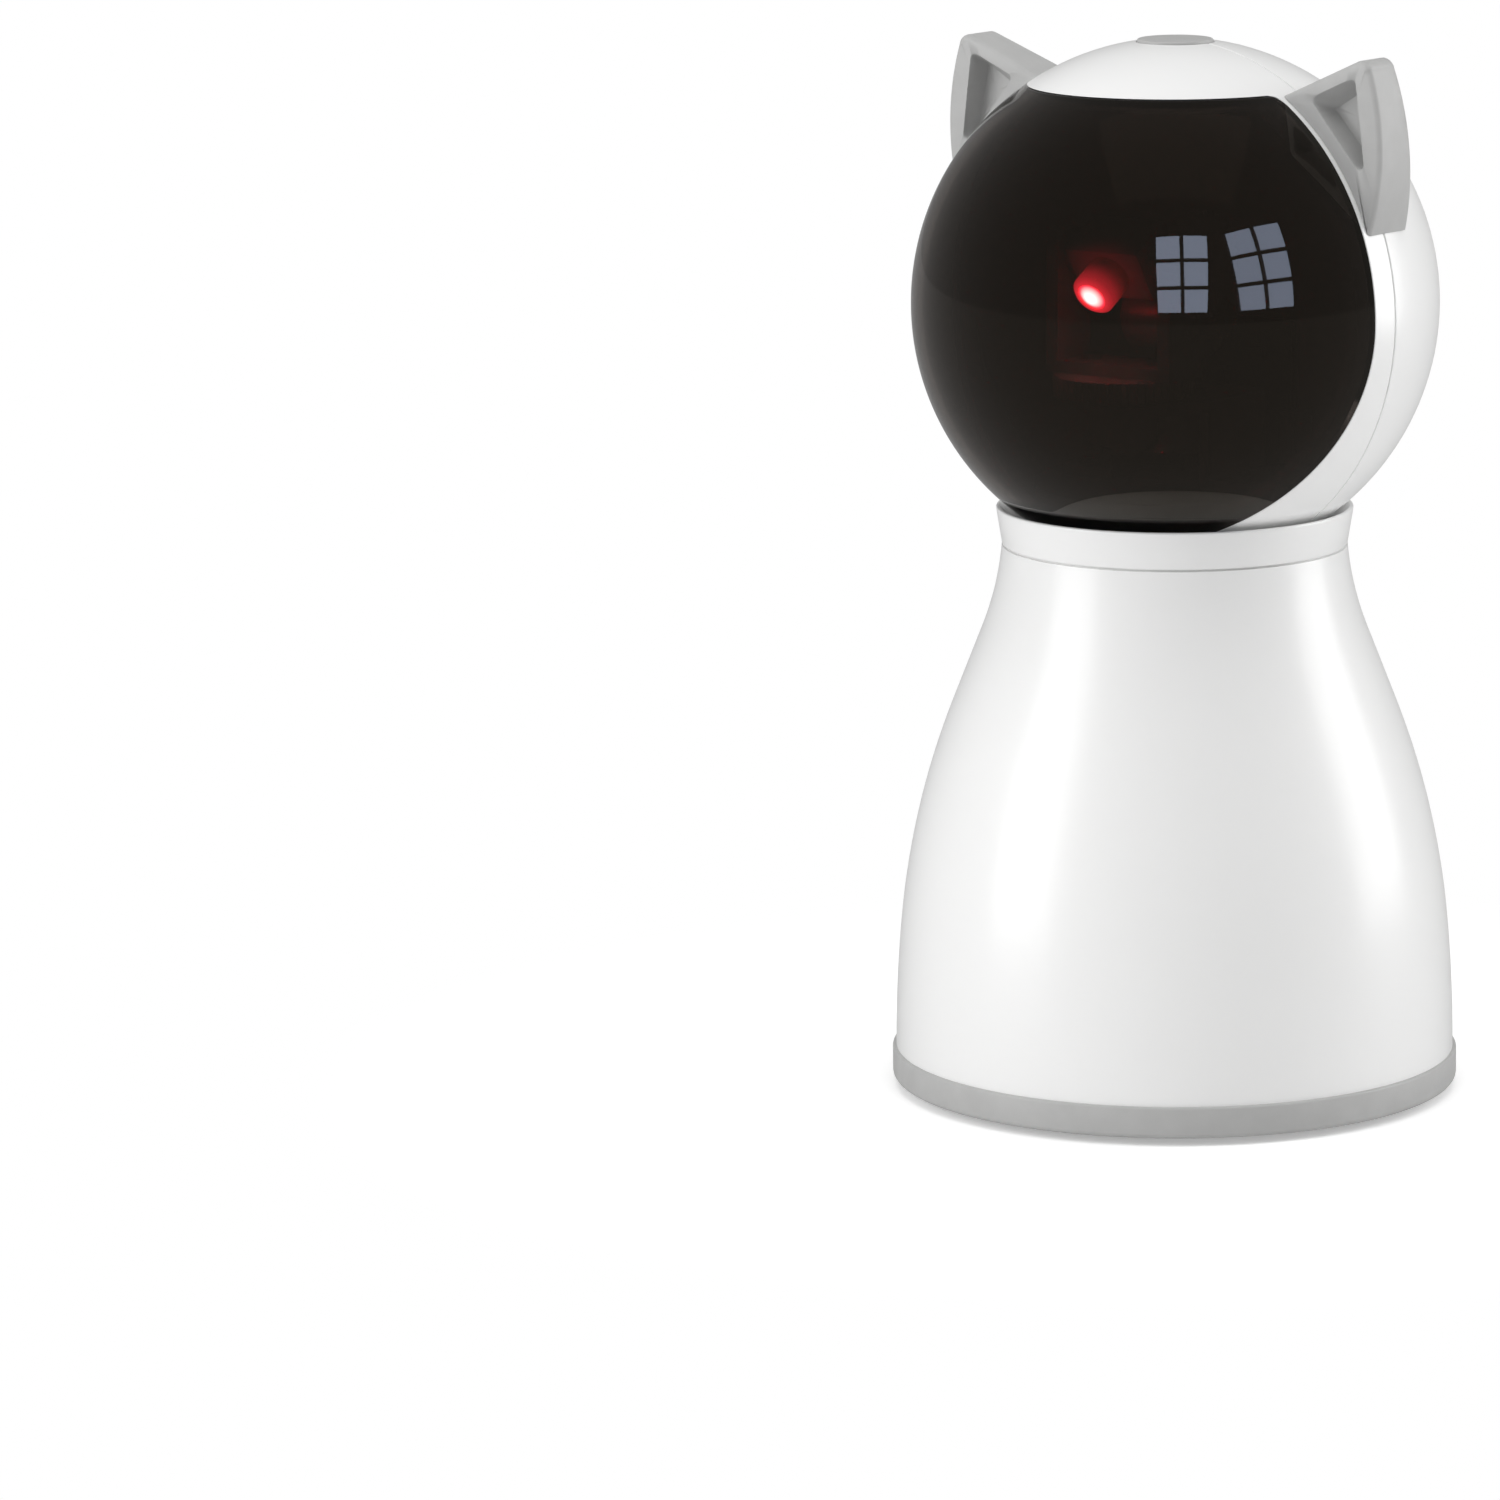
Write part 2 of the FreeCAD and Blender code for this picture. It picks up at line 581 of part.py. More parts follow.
def screws(label, points, head_radius, head_height, radius, length, plane="XY_Plane",
           seat=None, up=True):
    """Pan head screws: heads from the seat plane outwards, shanks the other way."""
    body = new_body(label)
    seat = as_size(0) if seat is None else seat
    out = head_height if up else -head_height
    heads = Drawing(body, label + "_heads", plane, seat)
    shanks = Drawing(body, label + "_shanks", plane, seat)
    slots = Drawing(body, label + "_slots", plane, seat + out)
    for x, y in points:
        heads.circle(x, y, head_radius)
        shanks.circle(x, y, radius)
    pad(body, heads, head_height, reverse=not up)
    pad(body, shanks, length, reverse=up)
    reach = head_radius * 0.6
    width = S["cross_width"] / 2
    for x, y in points:
        x, y = as_size(x), as_size(y)
        slots.loop((x - reach, y - width), (x - width, y - width), (x - width, y - reach),
                   (x + width, y - reach), (x + width, y - width), (x + reach, y - width),
                   (x + reach, y + width), (x + width, y + width), (x + width, y + reach),
                   (x - width, y + reach), (x - width, y + width), (x - reach, y + width))
    pocket(body, slots, head_height * 0.6, reverse=not up)
    return body


def pick_edges(body, wanted):
    """Names of the edges of a body's last feature that pass a test."""
    doc.recompute()
    edges = body.Tip.Shape.Edges
    return [f"Edge{number}" for number, edge in enumerate(edges, start=1) if wanted(edge)]


def round_off(body, radius, wanted):
    names = pick_edges(body, wanted)
    base = body.Tip
    feature = body.newObject("PartDesign::Fillet", f"{body.Label}_fillet")
    feature.Base = (base, names)
    bind(feature, "Radius", radius)
    body.Tip = feature
    return feature


def pillars(name, points, radius, bottom, height):
    """Round bars along Z, as one helper body."""
    body = new_body(name)
    drawing = Drawing(body, name + "_circles", lift=bottom)
    for x, y in points:
        drawing.circle(x, y, radius)
    pad(body, drawing, height)
    return body


def block(name, x, y, bottom, width, depth, height):
    """Box about x, y that stands on a given height."""
    body = new_body(name)
    pad(body, Drawing(body, name + "_base", lift=bottom).rectangle(x, y, width, depth), height)
    return body


def ring(drawing, inner, outer):
    return drawing.circle(0, 0, inner).circle(0, 0, outer)


# Heights and places that several sub-parts share.
cover_top = derive("cover_top", S["foot_drop"] + S["cover_thickness"])
ring_top = derive("ring_top", S["ring_bottom"] + S["ring_height"])
ring_radius = derive("ring_radius", S["body_foot_radius"] + S["ring_proud"])
ring_bore = derive("ring_bore", S["body_foot_radius"] - S["ring_section"])
foot_circle = derive("foot_circle", ring_bore - S["foot_inset"])
post_circle = ring_bore - S["ledge_width"] - S["post_gap"] - S["post_radius"]
post_place = derive("post_place", post_circle * cosine(as_size(45)))
body_top = S["body_top_height"]
collar_top = derive("collar_top", body_top + S["collar_height"])
bowl_radius = S["ball_radius"] + S["bowl_gap"]
ball_centre = derive("ball_centre", collar_top + side(bowl_radius, S["collar_bore"]))
hub_face = derive("hub_face", side(bowl_radius, S["hub_face_radius"]))
hub_bottom = derive("hub_bottom", hub_face + S["hub_length"])
neck_end = derive("neck_end", hub_bottom + S["washer_thickness"])
shell_inside = derive("shell_inside", S["ball_radius"] - S["shell_wall"])
ledge_inside = derive("ledge_inside", S["ball_radius"] - S["visor_wall"] - S["ledge_wall"])
deck_drop = derive("deck_drop", side(ledge_inside, S["deck_radius"] + S["deck_gap"]))
deck_face = derive("deck_face", deck_drop - S["deck_thickness"])
neck_screw_circle = (S["neck_bore"] + S["neck_radius"]) / 2
stop_inside = S["hub_radius"] + S["seat_gap"]
port_floor = derive("port_floor", S["body_foot_radius"] - S["port_depth"])
board_bottom = derive("board_bottom", cover_top + S["standoff_height"])
board_top = derive("board_top", board_bottom + S["board_thickness"])
port_centre = derive("port_centre", board_top + S["socket_height"] / 2)
board_rear = derive("board_rear", port_floor - S["port_wall"] - S["board_clearance"])
board_front = derive("board_front", board_rear - S["board_length"])
cover_feet = ring_points(foot_circle, 4)
cover_screws = four(post_place, post_place)
cradle_screw_across = S["saddle_spacing"] / 2
cradle_screw_front = S["cell_forward"] + S["saddle_width"] / 2 + S["cradle_tab"] / 2
cradle_screws_at = [(cradle_screw_across, -cradle_screw_front),
                    (-cradle_screw_across, -cradle_screw_front)]
board_screw_across = S["board_width"] / 2 - S["board_margin"]
board_screws_at = [(across, depth)
                   for across in (board_screw_across, -board_screw_across)
                   for depth in (board_front + S["board_margin"],
                                 board_rear - S["board_back_margin"])]
lead_start = derive("lead_start", board_front + S["plug_inset"])
small_pilot = S["small_screw_radius"] + S["thread_gap"]
small_hole = S["small_screw_radius"] + S["hole_gap"]
large_pilot = S["screw_radius"] + S["thread_gap"]
large_hole = S["screw_radius"] + S["hole_gap"]


def make_base_ring():
    body = new_body("base_ring")
    spigot_outside = S["body_foot_radius"] - S["body_wall"] - S["cover_gap"]
    spigot_inside = spigot_outside - S["spigot_width"]
    ledge_inner = ring_bore - S["ledge_width"]
    ledge_top = cover_top + S["ledge_thickness"]
    spigot_top = ring_top + S["spigot_height"]
    profile = Drawing(body, "ring_profile", "XZ_Plane").loop(
        (ring_bore, S["ring_bottom"]),
        (ring_radius - S["ring_lip"], S["ring_bottom"]),
        (ring_radius, S["ring_bottom"] + S["ring_lip"], S["ring_lip"]),
        (ring_radius, ring_top - S["ring_round"]),
        (ring_radius - S["ring_round"], ring_top, S["ring_round"]),
        (spigot_outside, ring_top),
        (spigot_outside, spigot_top),
        (spigot_inside, spigot_top),
        (spigot_inside, ledge_top),
        (ledge_inner, ledge_top),
        (ledge_inner, cover_top),
        (ring_bore, cover_top))
    turn(body, profile)
    return body


def make_bottom_cover():
    body = new_body("bottom_cover")
    plate = Drawing(body, "cover_plate", lift=S["foot_drop"])
    pad(body, plate.circle(0, 0, ring_bore - S["cover_gap"]), S["cover_thickness"])
    standoffs = Drawing(body, "cover_standoffs", lift=cover_top)
    for x, y in board_screws_at:
        standoffs.circle(x, y, S["standoff_radius"])
    pad(body, standoffs, S["standoff_height"])
    seats = Drawing(body, "cover_foot_seats", lift=S["foot_drop"])
    for x, y in cover_feet:
        seats.circle(x, y, S["foot_radius"] + S["seat_gap"])
    pocket(body, seats, S["foot_sink"], reverse=True)
    heads = Drawing(body, "cover_head_seats", lift=S["foot_drop"])
    holes = Drawing(body, "cover_holes", lift=cover_top)
    for x, y in cover_screws:
        heads.circle(x, y, S["screw_head_radius"] + S["hole_gap"])
        holes.circle(x, y, large_hole)
    pocket(body, heads, S["screw_head_height"], reverse=True)
    pocket(body, holes)
    pilots = Drawing(body, "cover_board_pilots", lift=board_bottom)
    for x, y in board_screws_at:
        pilots.circle(x, y, small_pilot)
    pocket(body, pilots, S["standoff_height"] - S["seat_gap"])
    cradle_pilots = Drawing(body, "cover_cradle_pilots", lift=cover_top)
    for x, y in cradle_screws_at:
        cradle_pilots.circle(x, y, small_pilot)
    pocket(body, cradle_pilots, S["cradle_pilot_depth"])
    return body


def make_rubber_feet():
    body = new_body("rubber_feet")
    feet = Drawing(body, "feet")
    for x, y in cover_feet:
        feet.circle(x, y, S["foot_radius"])
    pad(body, feet, S["foot_drop"] + S["foot_sink"])
    round_off(body, S["foot_round"], lambda edge: edge.BoundBox.ZMax < 0.001)
    return body


def tangent_arc(name, start, heading, end):
    """Radius of the arc that leaves start along heading and reaches end, and its last heading."""
    run, rise = end[0] - start[0], end[1] - start[1]
    square = run * run + rise * rise
    across = rise * heading[0] - run * heading[1]
    along = run * heading[0] + rise * heading[1]
    turned = derive(name + "_turn", along * 2 / square)
    radius = derive(name + "_radius", square / (across * 2))
    last = (derive(name + "_run", turned * run - heading[0]),
            derive(name + "_rise", turned * rise - heading[1]))
    return radius, last


foot = (S["body_foot_radius"], ring_top)
hip = (S["body_hip_radius"], S["body_hip_height"])
waist = (S["body_waist_radius"], S["body_waist_height"])
foot_arc, hip_heading = tangent_arc("hip", foot, (as_size(0), as_size(1)), hip)
hip_arc, waist_heading = tangent_arc("waist", hip, hip_heading, waist)
neck_rise = S["body_neck_height"] - S["body_waist_height"]
neck_reach = derive("neck_reach", waist[0] + waist_heading[0] * neck_rise / waist_heading[1])
neck_arc, top_heading = tangent_arc("neck", (neck_reach, S["body_neck_height"]), waist_heading,
                                    (S["body_top_radius"], body_top))


def body_outline(name, inset, overrun):
    """Waisted solid of the body shell, drawn in by a level inset and longer at both ends."""
    body = new_body(name)
    low, high = ring_top - overrun, body_top + overrun
    drawing = Drawing(body, name + "_profile", "XZ_Plane").loop(
        (0, low),
        (foot[0] - inset, low),
        (foot[0] - inset, foot[1]),
        (hip[0] - inset, hip[1], foot_arc),
        (waist[0] - inset, waist[1], hip_arc),
        (neck_reach - inset, S["body_neck_height"]),
        (S["body_top_radius"] - inset, body_top, neck_arc),
        (S["body_top_radius"] - inset, high),
        (0, high))
    turn(body, drawing)
    return body


shelf_bottom = body_top - S["shelf_thickness"]
collar_screw_circle = (S["shelf_bore"] + S["body_top_radius"] - S["body_wall"]) / 2
collar_screws_at = ring_points(collar_screw_circle, 3, 90.0)


def make_body_shell():
    outside = new_body("body_outside")
    drawing = Drawing(outside, "body_outside_profile", "XZ_Plane").loop(
        (0, ring_top),
        foot,
        (hip[0], hip[1], foot_arc),
        (waist[0], waist[1], hip_arc),
        (neck_reach, S["body_neck_height"]),
        (S["body_top_radius"], body_top, neck_arc),
        (0, body_top))
    turn(outside, drawing)
    inside = body_outline("body_inside", S["body_wall"], as_size(1))
    trim = body_outline("body_trim", S["body_wall"] / 2, ring_top - cover_top)
    wall = cut("body_skin", outside, inside)
    posts = pillars("body_posts", cover_screws, S["post_radius"], cover_top,
                    S["post_height"] - cover_top)
    shelf = new_body("body_shelf")
    pad(shelf, ring(Drawing(shelf, "shelf_ring", lift=shelf_bottom), S["shelf_bore"],
                    S["body_top_radius"]), S["shelf_thickness"])
    tunnel_depth = S["port_depth"] + S["port_wall"]
    tunnel = block("body_tunnel", 0, port_floor - S["port_wall"] + tunnel_depth / 2,
                   port_centre - S["port_height"] / 2 - S["port_wall"],
                   S["port_width"] + S["port_wall"] * 2, tunnel_depth,
                   S["port_height"] + S["port_wall"] * 2)
    inner_parts = common("body_fittings", fuse("body_posts_and_port", posts, shelf, tunnel), trim)
    whole = fuse("body_whole", wall, inner_parts)
    pilots = pillars("body_pilots", cover_screws, large_pilot, cover_top - S["seat_gap"],
                     S["post_pilot_depth"])
    holes = pillars("body_shelf_holes", collar_screws_at, small_hole, shelf_bottom - 1,
                    S["shelf_thickness"] + 2)
    recess = block("body_recess", 0, port_floor + S["port_depth"],
                   port_centre - S["port_height"] / 2,
                   S["port_width"], S["port_depth"] * 2, S["port_height"])
    mouth = block("body_socket_mouth", 0, port_floor - S["port_wall"] / 2,
                  port_centre - S["socket_height"] / 2 - S["socket_gap"],
                  S["socket_width"] + S["socket_gap"] * 2, S["port_wall"] + 1,
                  S["socket_height"] + S["socket_gap"] * 2)
    return cut("body_shell", whole, fuse("body_cuts", pilots, holes, recess, mouth))


def stop_bar(name, angle, inner, bottom, height):
    """Bar that points away from the axis, turned by an angle from +X."""
    outer = S["hub_radius"] + S["stop_reach"]
    bar = block(name, (inner + outer) / 2, 0, bottom, outer - inner, S["stop_width"], height)
    return place(bar, axis=Vector(0, 0, 1), angle=angle)


stop_bottom = derive("stop_bottom", -neck_end - S["retainer_thickness"])
half_stop = arcsine(S["stop_width"] / 2 / stop_inside)
stop_angle = derive("stop_angle", S["turn_limit"] + S["turn_margin"] + half_stop * 2)


def make_collar():
    body = new_body("collar_bowl")
    rim, foot_level = -side(bowl_radius, S["collar_bore"]), body_top - ball_centre
    groove = foot_level + S["collar_groove_height"]
    under = bowl_radius + S["bowl_wall"]
    drawing = Drawing(body, "collar_profile", "XZ_Plane").loop(
        (S["neck_radius"] + S["bearing_gap"], -hub_bottom),
        (S["hub_radius"], -hub_bottom),
        (S["hub_radius"], -side(under, S["hub_radius"])),
        (side(under, foot_level), foot_level, under),
        (S["collar_foot_radius"] - S["collar_groove_depth"], foot_level),
        (S["collar_foot_radius"] - S["collar_groove_depth"], groove),
        (S["collar_foot_radius"], groove),
        (S["collar_rim_radius"], rim - S["rim_round"]),
        (S["collar_rim_radius"] - S["rim_round"], rim, S["rim_round"]),
        (S["collar_bore"], rim),
        (S["hub_face_radius"], -hub_face, -bowl_radius),
        (S["neck_radius"] + S["bearing_gap"], -hub_face))
    turn(body, drawing)
    holes = Drawing(body, "collar_pilots", lift=foot_level)
    for x, y in collar_screws_at:
        holes.circle(x, y, small_pilot)
    pocket(body, holes, S["collar_pilot_depth"], reverse=True)
    lug_top = -side(under, S["hub_radius"]) + 0.5
    lugs = [stop_bar("stop_lug_right", stop_angle - 90, stop_inside, stop_bottom,
                     lug_top - stop_bottom),
            stop_bar("stop_lug_left", 270 - stop_angle, stop_inside, stop_bottom,
                     lug_top - stop_bottom)]
    roots = new_body("stop_lug_roots")
    pad(roots, ring(Drawing(roots, "stop_lug_root", lift=-hub_bottom), S["hub_radius"] - 1,
                    S["hub_radius"] + S["seat_gap"]), S["hub_length"] / 2)
    return place(fuse("collar", body, roots, *lugs), z=ball_centre)


def make_battery_cell():
    body = new_body("battery_cell")
    can = Drawing(body, "cell_can", "YZ_Plane", lift=-S["cell_length"] / 2)
    pad(body, can.circle(0, 0, S["cell_radius"]), S["cell_length"])
    cap = Drawing(body, "cell_cap", "YZ_Plane", lift=S["cell_length"] / 2)
    pad(body, cap.circle(0, 0, S["cell_cap_radius"]), S["cell_cap_height"])
    return place(body, y=-S["cell_forward"], z=cell_axis)


cell_axis = derive("cell_axis",
                   cover_top + S["cradle_floor"] + S["cell_radius"] + S["cell_gap"])


def make_battery_cradle():
    body = new_body("battery_cradle")
    forward = -S["cell_forward"]
    saddle_front = forward - S["saddle_width"] / 2
    floor = Drawing(body, "cradle_floor", lift=cover_top)
    pad(body, floor.rectangle(0, forward, S["cradle_length"], S["cradle_width"]),
        S["cradle_floor"])
    for across in (cradle_screw_across, -cradle_screw_across):
        saddle = Drawing(body, "cradle_saddle", lift=cover_top)
        pad(body, saddle.rectangle(across, forward, S["saddle_length"], S["saddle_width"]),
            S["saddle_height"])
        tab = Drawing(body, "cradle_screw_tab", lift=cover_top)
        pad(body, tab.rectangle(across, saddle_front - S["cradle_tab"] / 2 + 0.5,
                                S["cradle_tab_width"], S["cradle_tab"] + 1), S["cradle_floor"])
    trough = Drawing(body, "cradle_trough", "YZ_Plane")
    pocket(body, trough.circle(forward, cell_axis, S["cell_radius"] + S["cell_gap"]), both=True)
    holes = Drawing(body, "cradle_holes", lift=cover_top + S["cradle_floor"])
    for x, y in cradle_screws_at:
        holes.circle(x, y, small_hole)
    pocket(body, holes)
    return body


def make_main_board():
    body = new_body("main_board")
    plate = Drawing(body, "main_board_plate", lift=board_bottom)
    pad(body, plate.rectangle(0, (board_front + board_rear) / 2, S["board_width"],
                              S["board_length"]), S["board_thickness"])
    holes = Drawing(body, "main_board_holes", lift=board_top)
    for x, y in board_screws_at:
        holes.circle(x, y, small_hole)
    pocket(body, holes)
    return body


def make_board_components():
    body = new_body("board_components")
    for x, y, width, depth in ((-8.0, 12.0, 7.0, 7.0), (7.5, 13.0, 5.0, 6.0), (9.5, 20.5, 4.0, 2.4),
                               (-10.0, 20.0, 3.0, 3.0), (0.0, 15.0, 3.2, 2.2)):
        chip = Drawing(body, "board_chip", lift=board_top)
        pad(body, chip.rectangle(x, board_front + y, width, depth), S["chip_height"])
    return body


def make_charge_socket():
    body = new_body("charge_socket")
    half = (S["socket_height"]) / 2
    middle = S["socket_width"] / 2 - half
    shell = Drawing(body, "socket_outline", "XZ_Plane", lift=-S["socket_length"])
    shell.loop((middle, -half), (middle, half, half), (-middle, half), (-middle, -half, half))
    pad(body, shell, S["socket_length"])
    bore = half - S["socket_shell"]
    mouth = Drawing(body, "socket_mouth", "XZ_Plane", lift=-S["socket_length"])
    mouth.loop((middle, -bore), (middle, bore, bore), (-middle, bore), (-middle, -bore, bore))
    pocket(body, mouth, S["socket_bore_depth"], reverse=True)
    root_level = S["socket_length"] - S["socket_bore_depth"]
    tongue = Drawing(body, "socket_tongue", "XZ_Plane", lift=-root_level)
    pad(body, tongue.rectangle(0, 0, S["tongue_width"], S["tongue_height"]), S["tongue_length"],
        reverse=True)
    return place(body, y=port_floor - S["socket_back"] - S["socket_length"], z=port_centre)


def make_board_plug():
    return block("board_plug", 0, lead_start, board_top, S["plug_width"], S["plug_depth"],
                 S["plug_height"])


lead_foot = derive("lead_foot", board_top + S["plug_height"])
lead_end = derive("lead_end", ball_centre - deck_face - S["neck_plug_length"])


def make_neck_cable():
    """Lead from the main board: up, over in two bends of 60 degrees, then up the neck."""
    body = new_body("neck_cable")
    rise = lead_foot + S["lead_straight"]
    swing = lead_start * sine(as_size(60))
    path = Drawing(body, "neck_cable_path", "YZ_Plane").loop(
        (lead_start, lead_foot),
        (lead_start, rise),
        (lead_start / 2, rise + swing, lead_start),
        (0, rise + swing * 2, -lead_start),
        (0, lead_end), closed=False)
    section = Drawing(body, "neck_cable_section", lift=lead_foot)
    section.circle(0, lead_start, S["lead_radius"])
    return sweep(body, section, path, 4)


def sweep(body, section, path, edges):
    feature = body.newObject("PartDesign::AdditivePipe", f"{body.Label}_pipe")
    feature.Profile = section.sketch
    feature.Spine = (path.sketch, [f"Edge{number}" for number in range(1, edges + 1)])
    body.Tip = feature
    return body


# Head, drawn about the middle of the ball.
half_gap = S["parting_gap"] / 2
neck_hole = S["shoulder_radius"] + S["neck_opening_gap"]
pads_front = [(S["pad_offset"], -S["pad_offset"]), (-S["pad_offset"], -S["pad_offset"])]
pads_rear = [(S["pad_offset"], S["pad_offset"]), (-S["pad_offset"], S["pad_offset"])]
pad_circle = S["pad_offset"] * root(as_size(2))
pad_seat = derive("pad_seat", side(shell_inside, pad_circle))
flange_top = derive("flange_top", side(shell_inside, S["flange_radius"]) - S["flange_gap"])
stem_end = derive("stem_end", flange_top - S["flange_thickness"] - S["button_board_drop"])
switch_top = derive("switch_top", stem_end - S["plunger_out"])
button_board_top = derive("button_board_top", switch_top - S["switch_height"])
bosses_at = [(S["boss_across"], S["boss_back"]), (-S["boss_across"], S["boss_back"])]
far = S["ball_radius"] + 5


def hollow_ball(name, inner, outer):
    """Hollow ball, open round the neck."""
    body = new_body(name)
    drawing = Drawing(body, name + "_profile", "XZ_Plane").loop(
        (neck_hole, -side(outer, neck_hole)),
        (0, outer, outer),
        (0, inner),
        (neck_hole, -side(inner, neck_hole), -inner))
    turn(body, drawing)
    return body


def keep_half(body, rear):
    """Cut the ball off at the joint line, less half its gap."""
    level = half_gap if rear else -half_gap
    drawing = Drawing(body, body.Label + "_half", "XZ_Plane", lift=-level)
    drawing.rectangle(0, 0, far * 2, far * 2)
    pocket(body, drawing, far, reverse=rear)


def visor_region(name, grow_by, reach):
    """Side view of the visor's area, grown all round, as a solid across the head."""
    body = new_body(name)
    edge = grow_by - S["visor_edge"]
    top = S["visor_top"] + grow_by
    sweep_radius = S["visor_sweep"] + grow_by
    corner = S["visor_corner"] + grow_by * 0.5
    centre = S["visor_edge"] + S["visor_sweep"]
    low = S["ball_radius"] - 2
    drawing = Drawing(body, name + "_outline", "YZ_Plane", lift=-reach).loop(
        (-far, top),
        (-far, -low),
        (side(sweep_radius, low) - centre, -low),
        (edge, 0, sweep_radius),
        (edge, top - corner),
        (edge - corner, top, corner))
    pad(body, drawing, reach * 2)
    return body


def in_ball(name, thing, radius):
    ball = part_object("Sphere", name + "_ball", Radius=radius)
    return common(name, thing, ball)


def shell_pads(name, points):
    bars = pillars(name + "_bars", points, S["pad_radius"], -S["ball_radius"],
                   S["ball_radius"] - deck_drop)
    return in_ball(name, bars, S["ball_radius"] - S["shell_wall"] / 2)


def shell_screw_cuts(name, points):
    holes = pillars(name + "_holes", points, small_hole, -S["ball_radius"], far)
    seats = pillars(name + "_seats", points, S["small_head_radius"] + S["hole_gap"],
                    -S["ball_radius"], S["ball_radius"] - pad_seat)
    return fuse(name, holes, seats)


def make_lip():
    """Locating lip, fixed in the front shell and free in the rear one."""
    body = new_body("shell_lip")
    inner = shell_inside - S["lip_wall"]
    drawing = Drawing(body, "lip_profile").loop(
        (inner, -S["lip_root"]),
        (shell_inside + S["seat_gap"], -S["lip_root"]),
        (shell_inside + S["seat_gap"], -half_gap),
        (shell_inside - half_gap - S["seat_gap"], -half_gap),
        (shell_inside - half_gap - S["seat_gap"], S["lip_reach"]),
        (inner, S["lip_reach"]))
    turn(body, drawing)
    low = Drawing(body, "lip_low_end", "XZ_Plane")
    low.rectangle(0, -far / 2 - S["lip_low"], far * 2, far)
    pocket(body, low, both=True)
    gap = Drawing(body, "lip_button_gap", "XZ_Plane")
    gap.rectangle(0, far / 2, S["lip_break"] * 2, far)
    pocket(body, gap, both=True)
    return body


def make_head_front_shell():
    skin = hollow_ball("front_skin", shell_inside, S["ball_radius"])
    keep_half(skin, False)
    opened = cut("front_skin_open", skin, visor_region("visor_opening", as_size(0), far))
    ledge_ball = hollow_ball("visor_ledge_ball", ledge_inside,
                             S["ball_radius"] - S["visor_wall"] - S["glue_gap"])
    wide = common("visor_ledge_wide", ledge_ball,
                  visor_region("visor_ledge_outer", S["ledge_reach"], far))
    ledge = cut("visor_ledge", wide, visor_region("visor_ledge_inner", -S["ledge_reach"], far))
    whole = fuse("front_whole", opened, ledge, make_lip(), shell_pads("front_pads", pads_front))
    button_hole = pillars("front_button_hole", [(0, 0)], S["button_radius"] + S["button_gap"],
                          flange_top, far)
    cuts = fuse("front_cuts", button_hole, shell_screw_cuts("front_screws", pads_front))
    return place(cut("head_front_shell", whole, cuts), z=ball_centre)


def ear_pegs(name, extra, inner, outer, tilt):
    pegs = pillars(name, [(S["peg_spacing"] / 2, S["peg_back"]),
                          (-S["peg_spacing"] / 2, S["peg_back"])],
                   S["peg_radius"] + extra, inner, outer - inner)
    return place(pegs, axis=Vector(0, 1, 0), angle=tilt)


def make_head_rear_shell():
    skin = hollow_ball("rear_skin", shell_inside, S["ball_radius"])
    keep_half(skin, True)
    bosses = in_ball("button_board_bosses",
                     pillars("button_board_boss_bars", bosses_at, S["boss_radius"],
                             button_board_top, S["ball_radius"] - button_board_top),
                     S["ball_radius"] - S["shell_wall"] / 2)
    whole = fuse("rear_whole", skin, bosses, shell_pads("rear_pads", pads_rear))
    tilt = 90 - S["peg_tilt"]
    cuts = fuse("rear_cuts",
                pillars("rear_button_hole", [(0, 0)], S["button_radius"] + S["button_gap"],
                        flange_top, far),
                pillars("boss_pilots", bosses_at, small_pilot, button_board_top - 1,
                        S["boss_pilot_depth"] + 1),
                shell_screw_cuts("rear_screws", pads_rear),
                ear_pegs("right_peg_holes", S["seat_gap"], S["peg_start"] - 2, far, tilt),
                ear_pegs("left_peg_holes", S["seat_gap"], S["peg_start"] - 2, far, -tilt))
    return place(cut("head_rear_shell", whole, cuts), z=ball_centre)


def make_visor():
    ball = hollow_ball("visor_ball", S["ball_radius"] - S["visor_wall"], S["ball_radius"])
    area = visor_region("visor_area", -S["visor_gap"], far)
    return place(common("visor", ball, area), z=ball_centre)


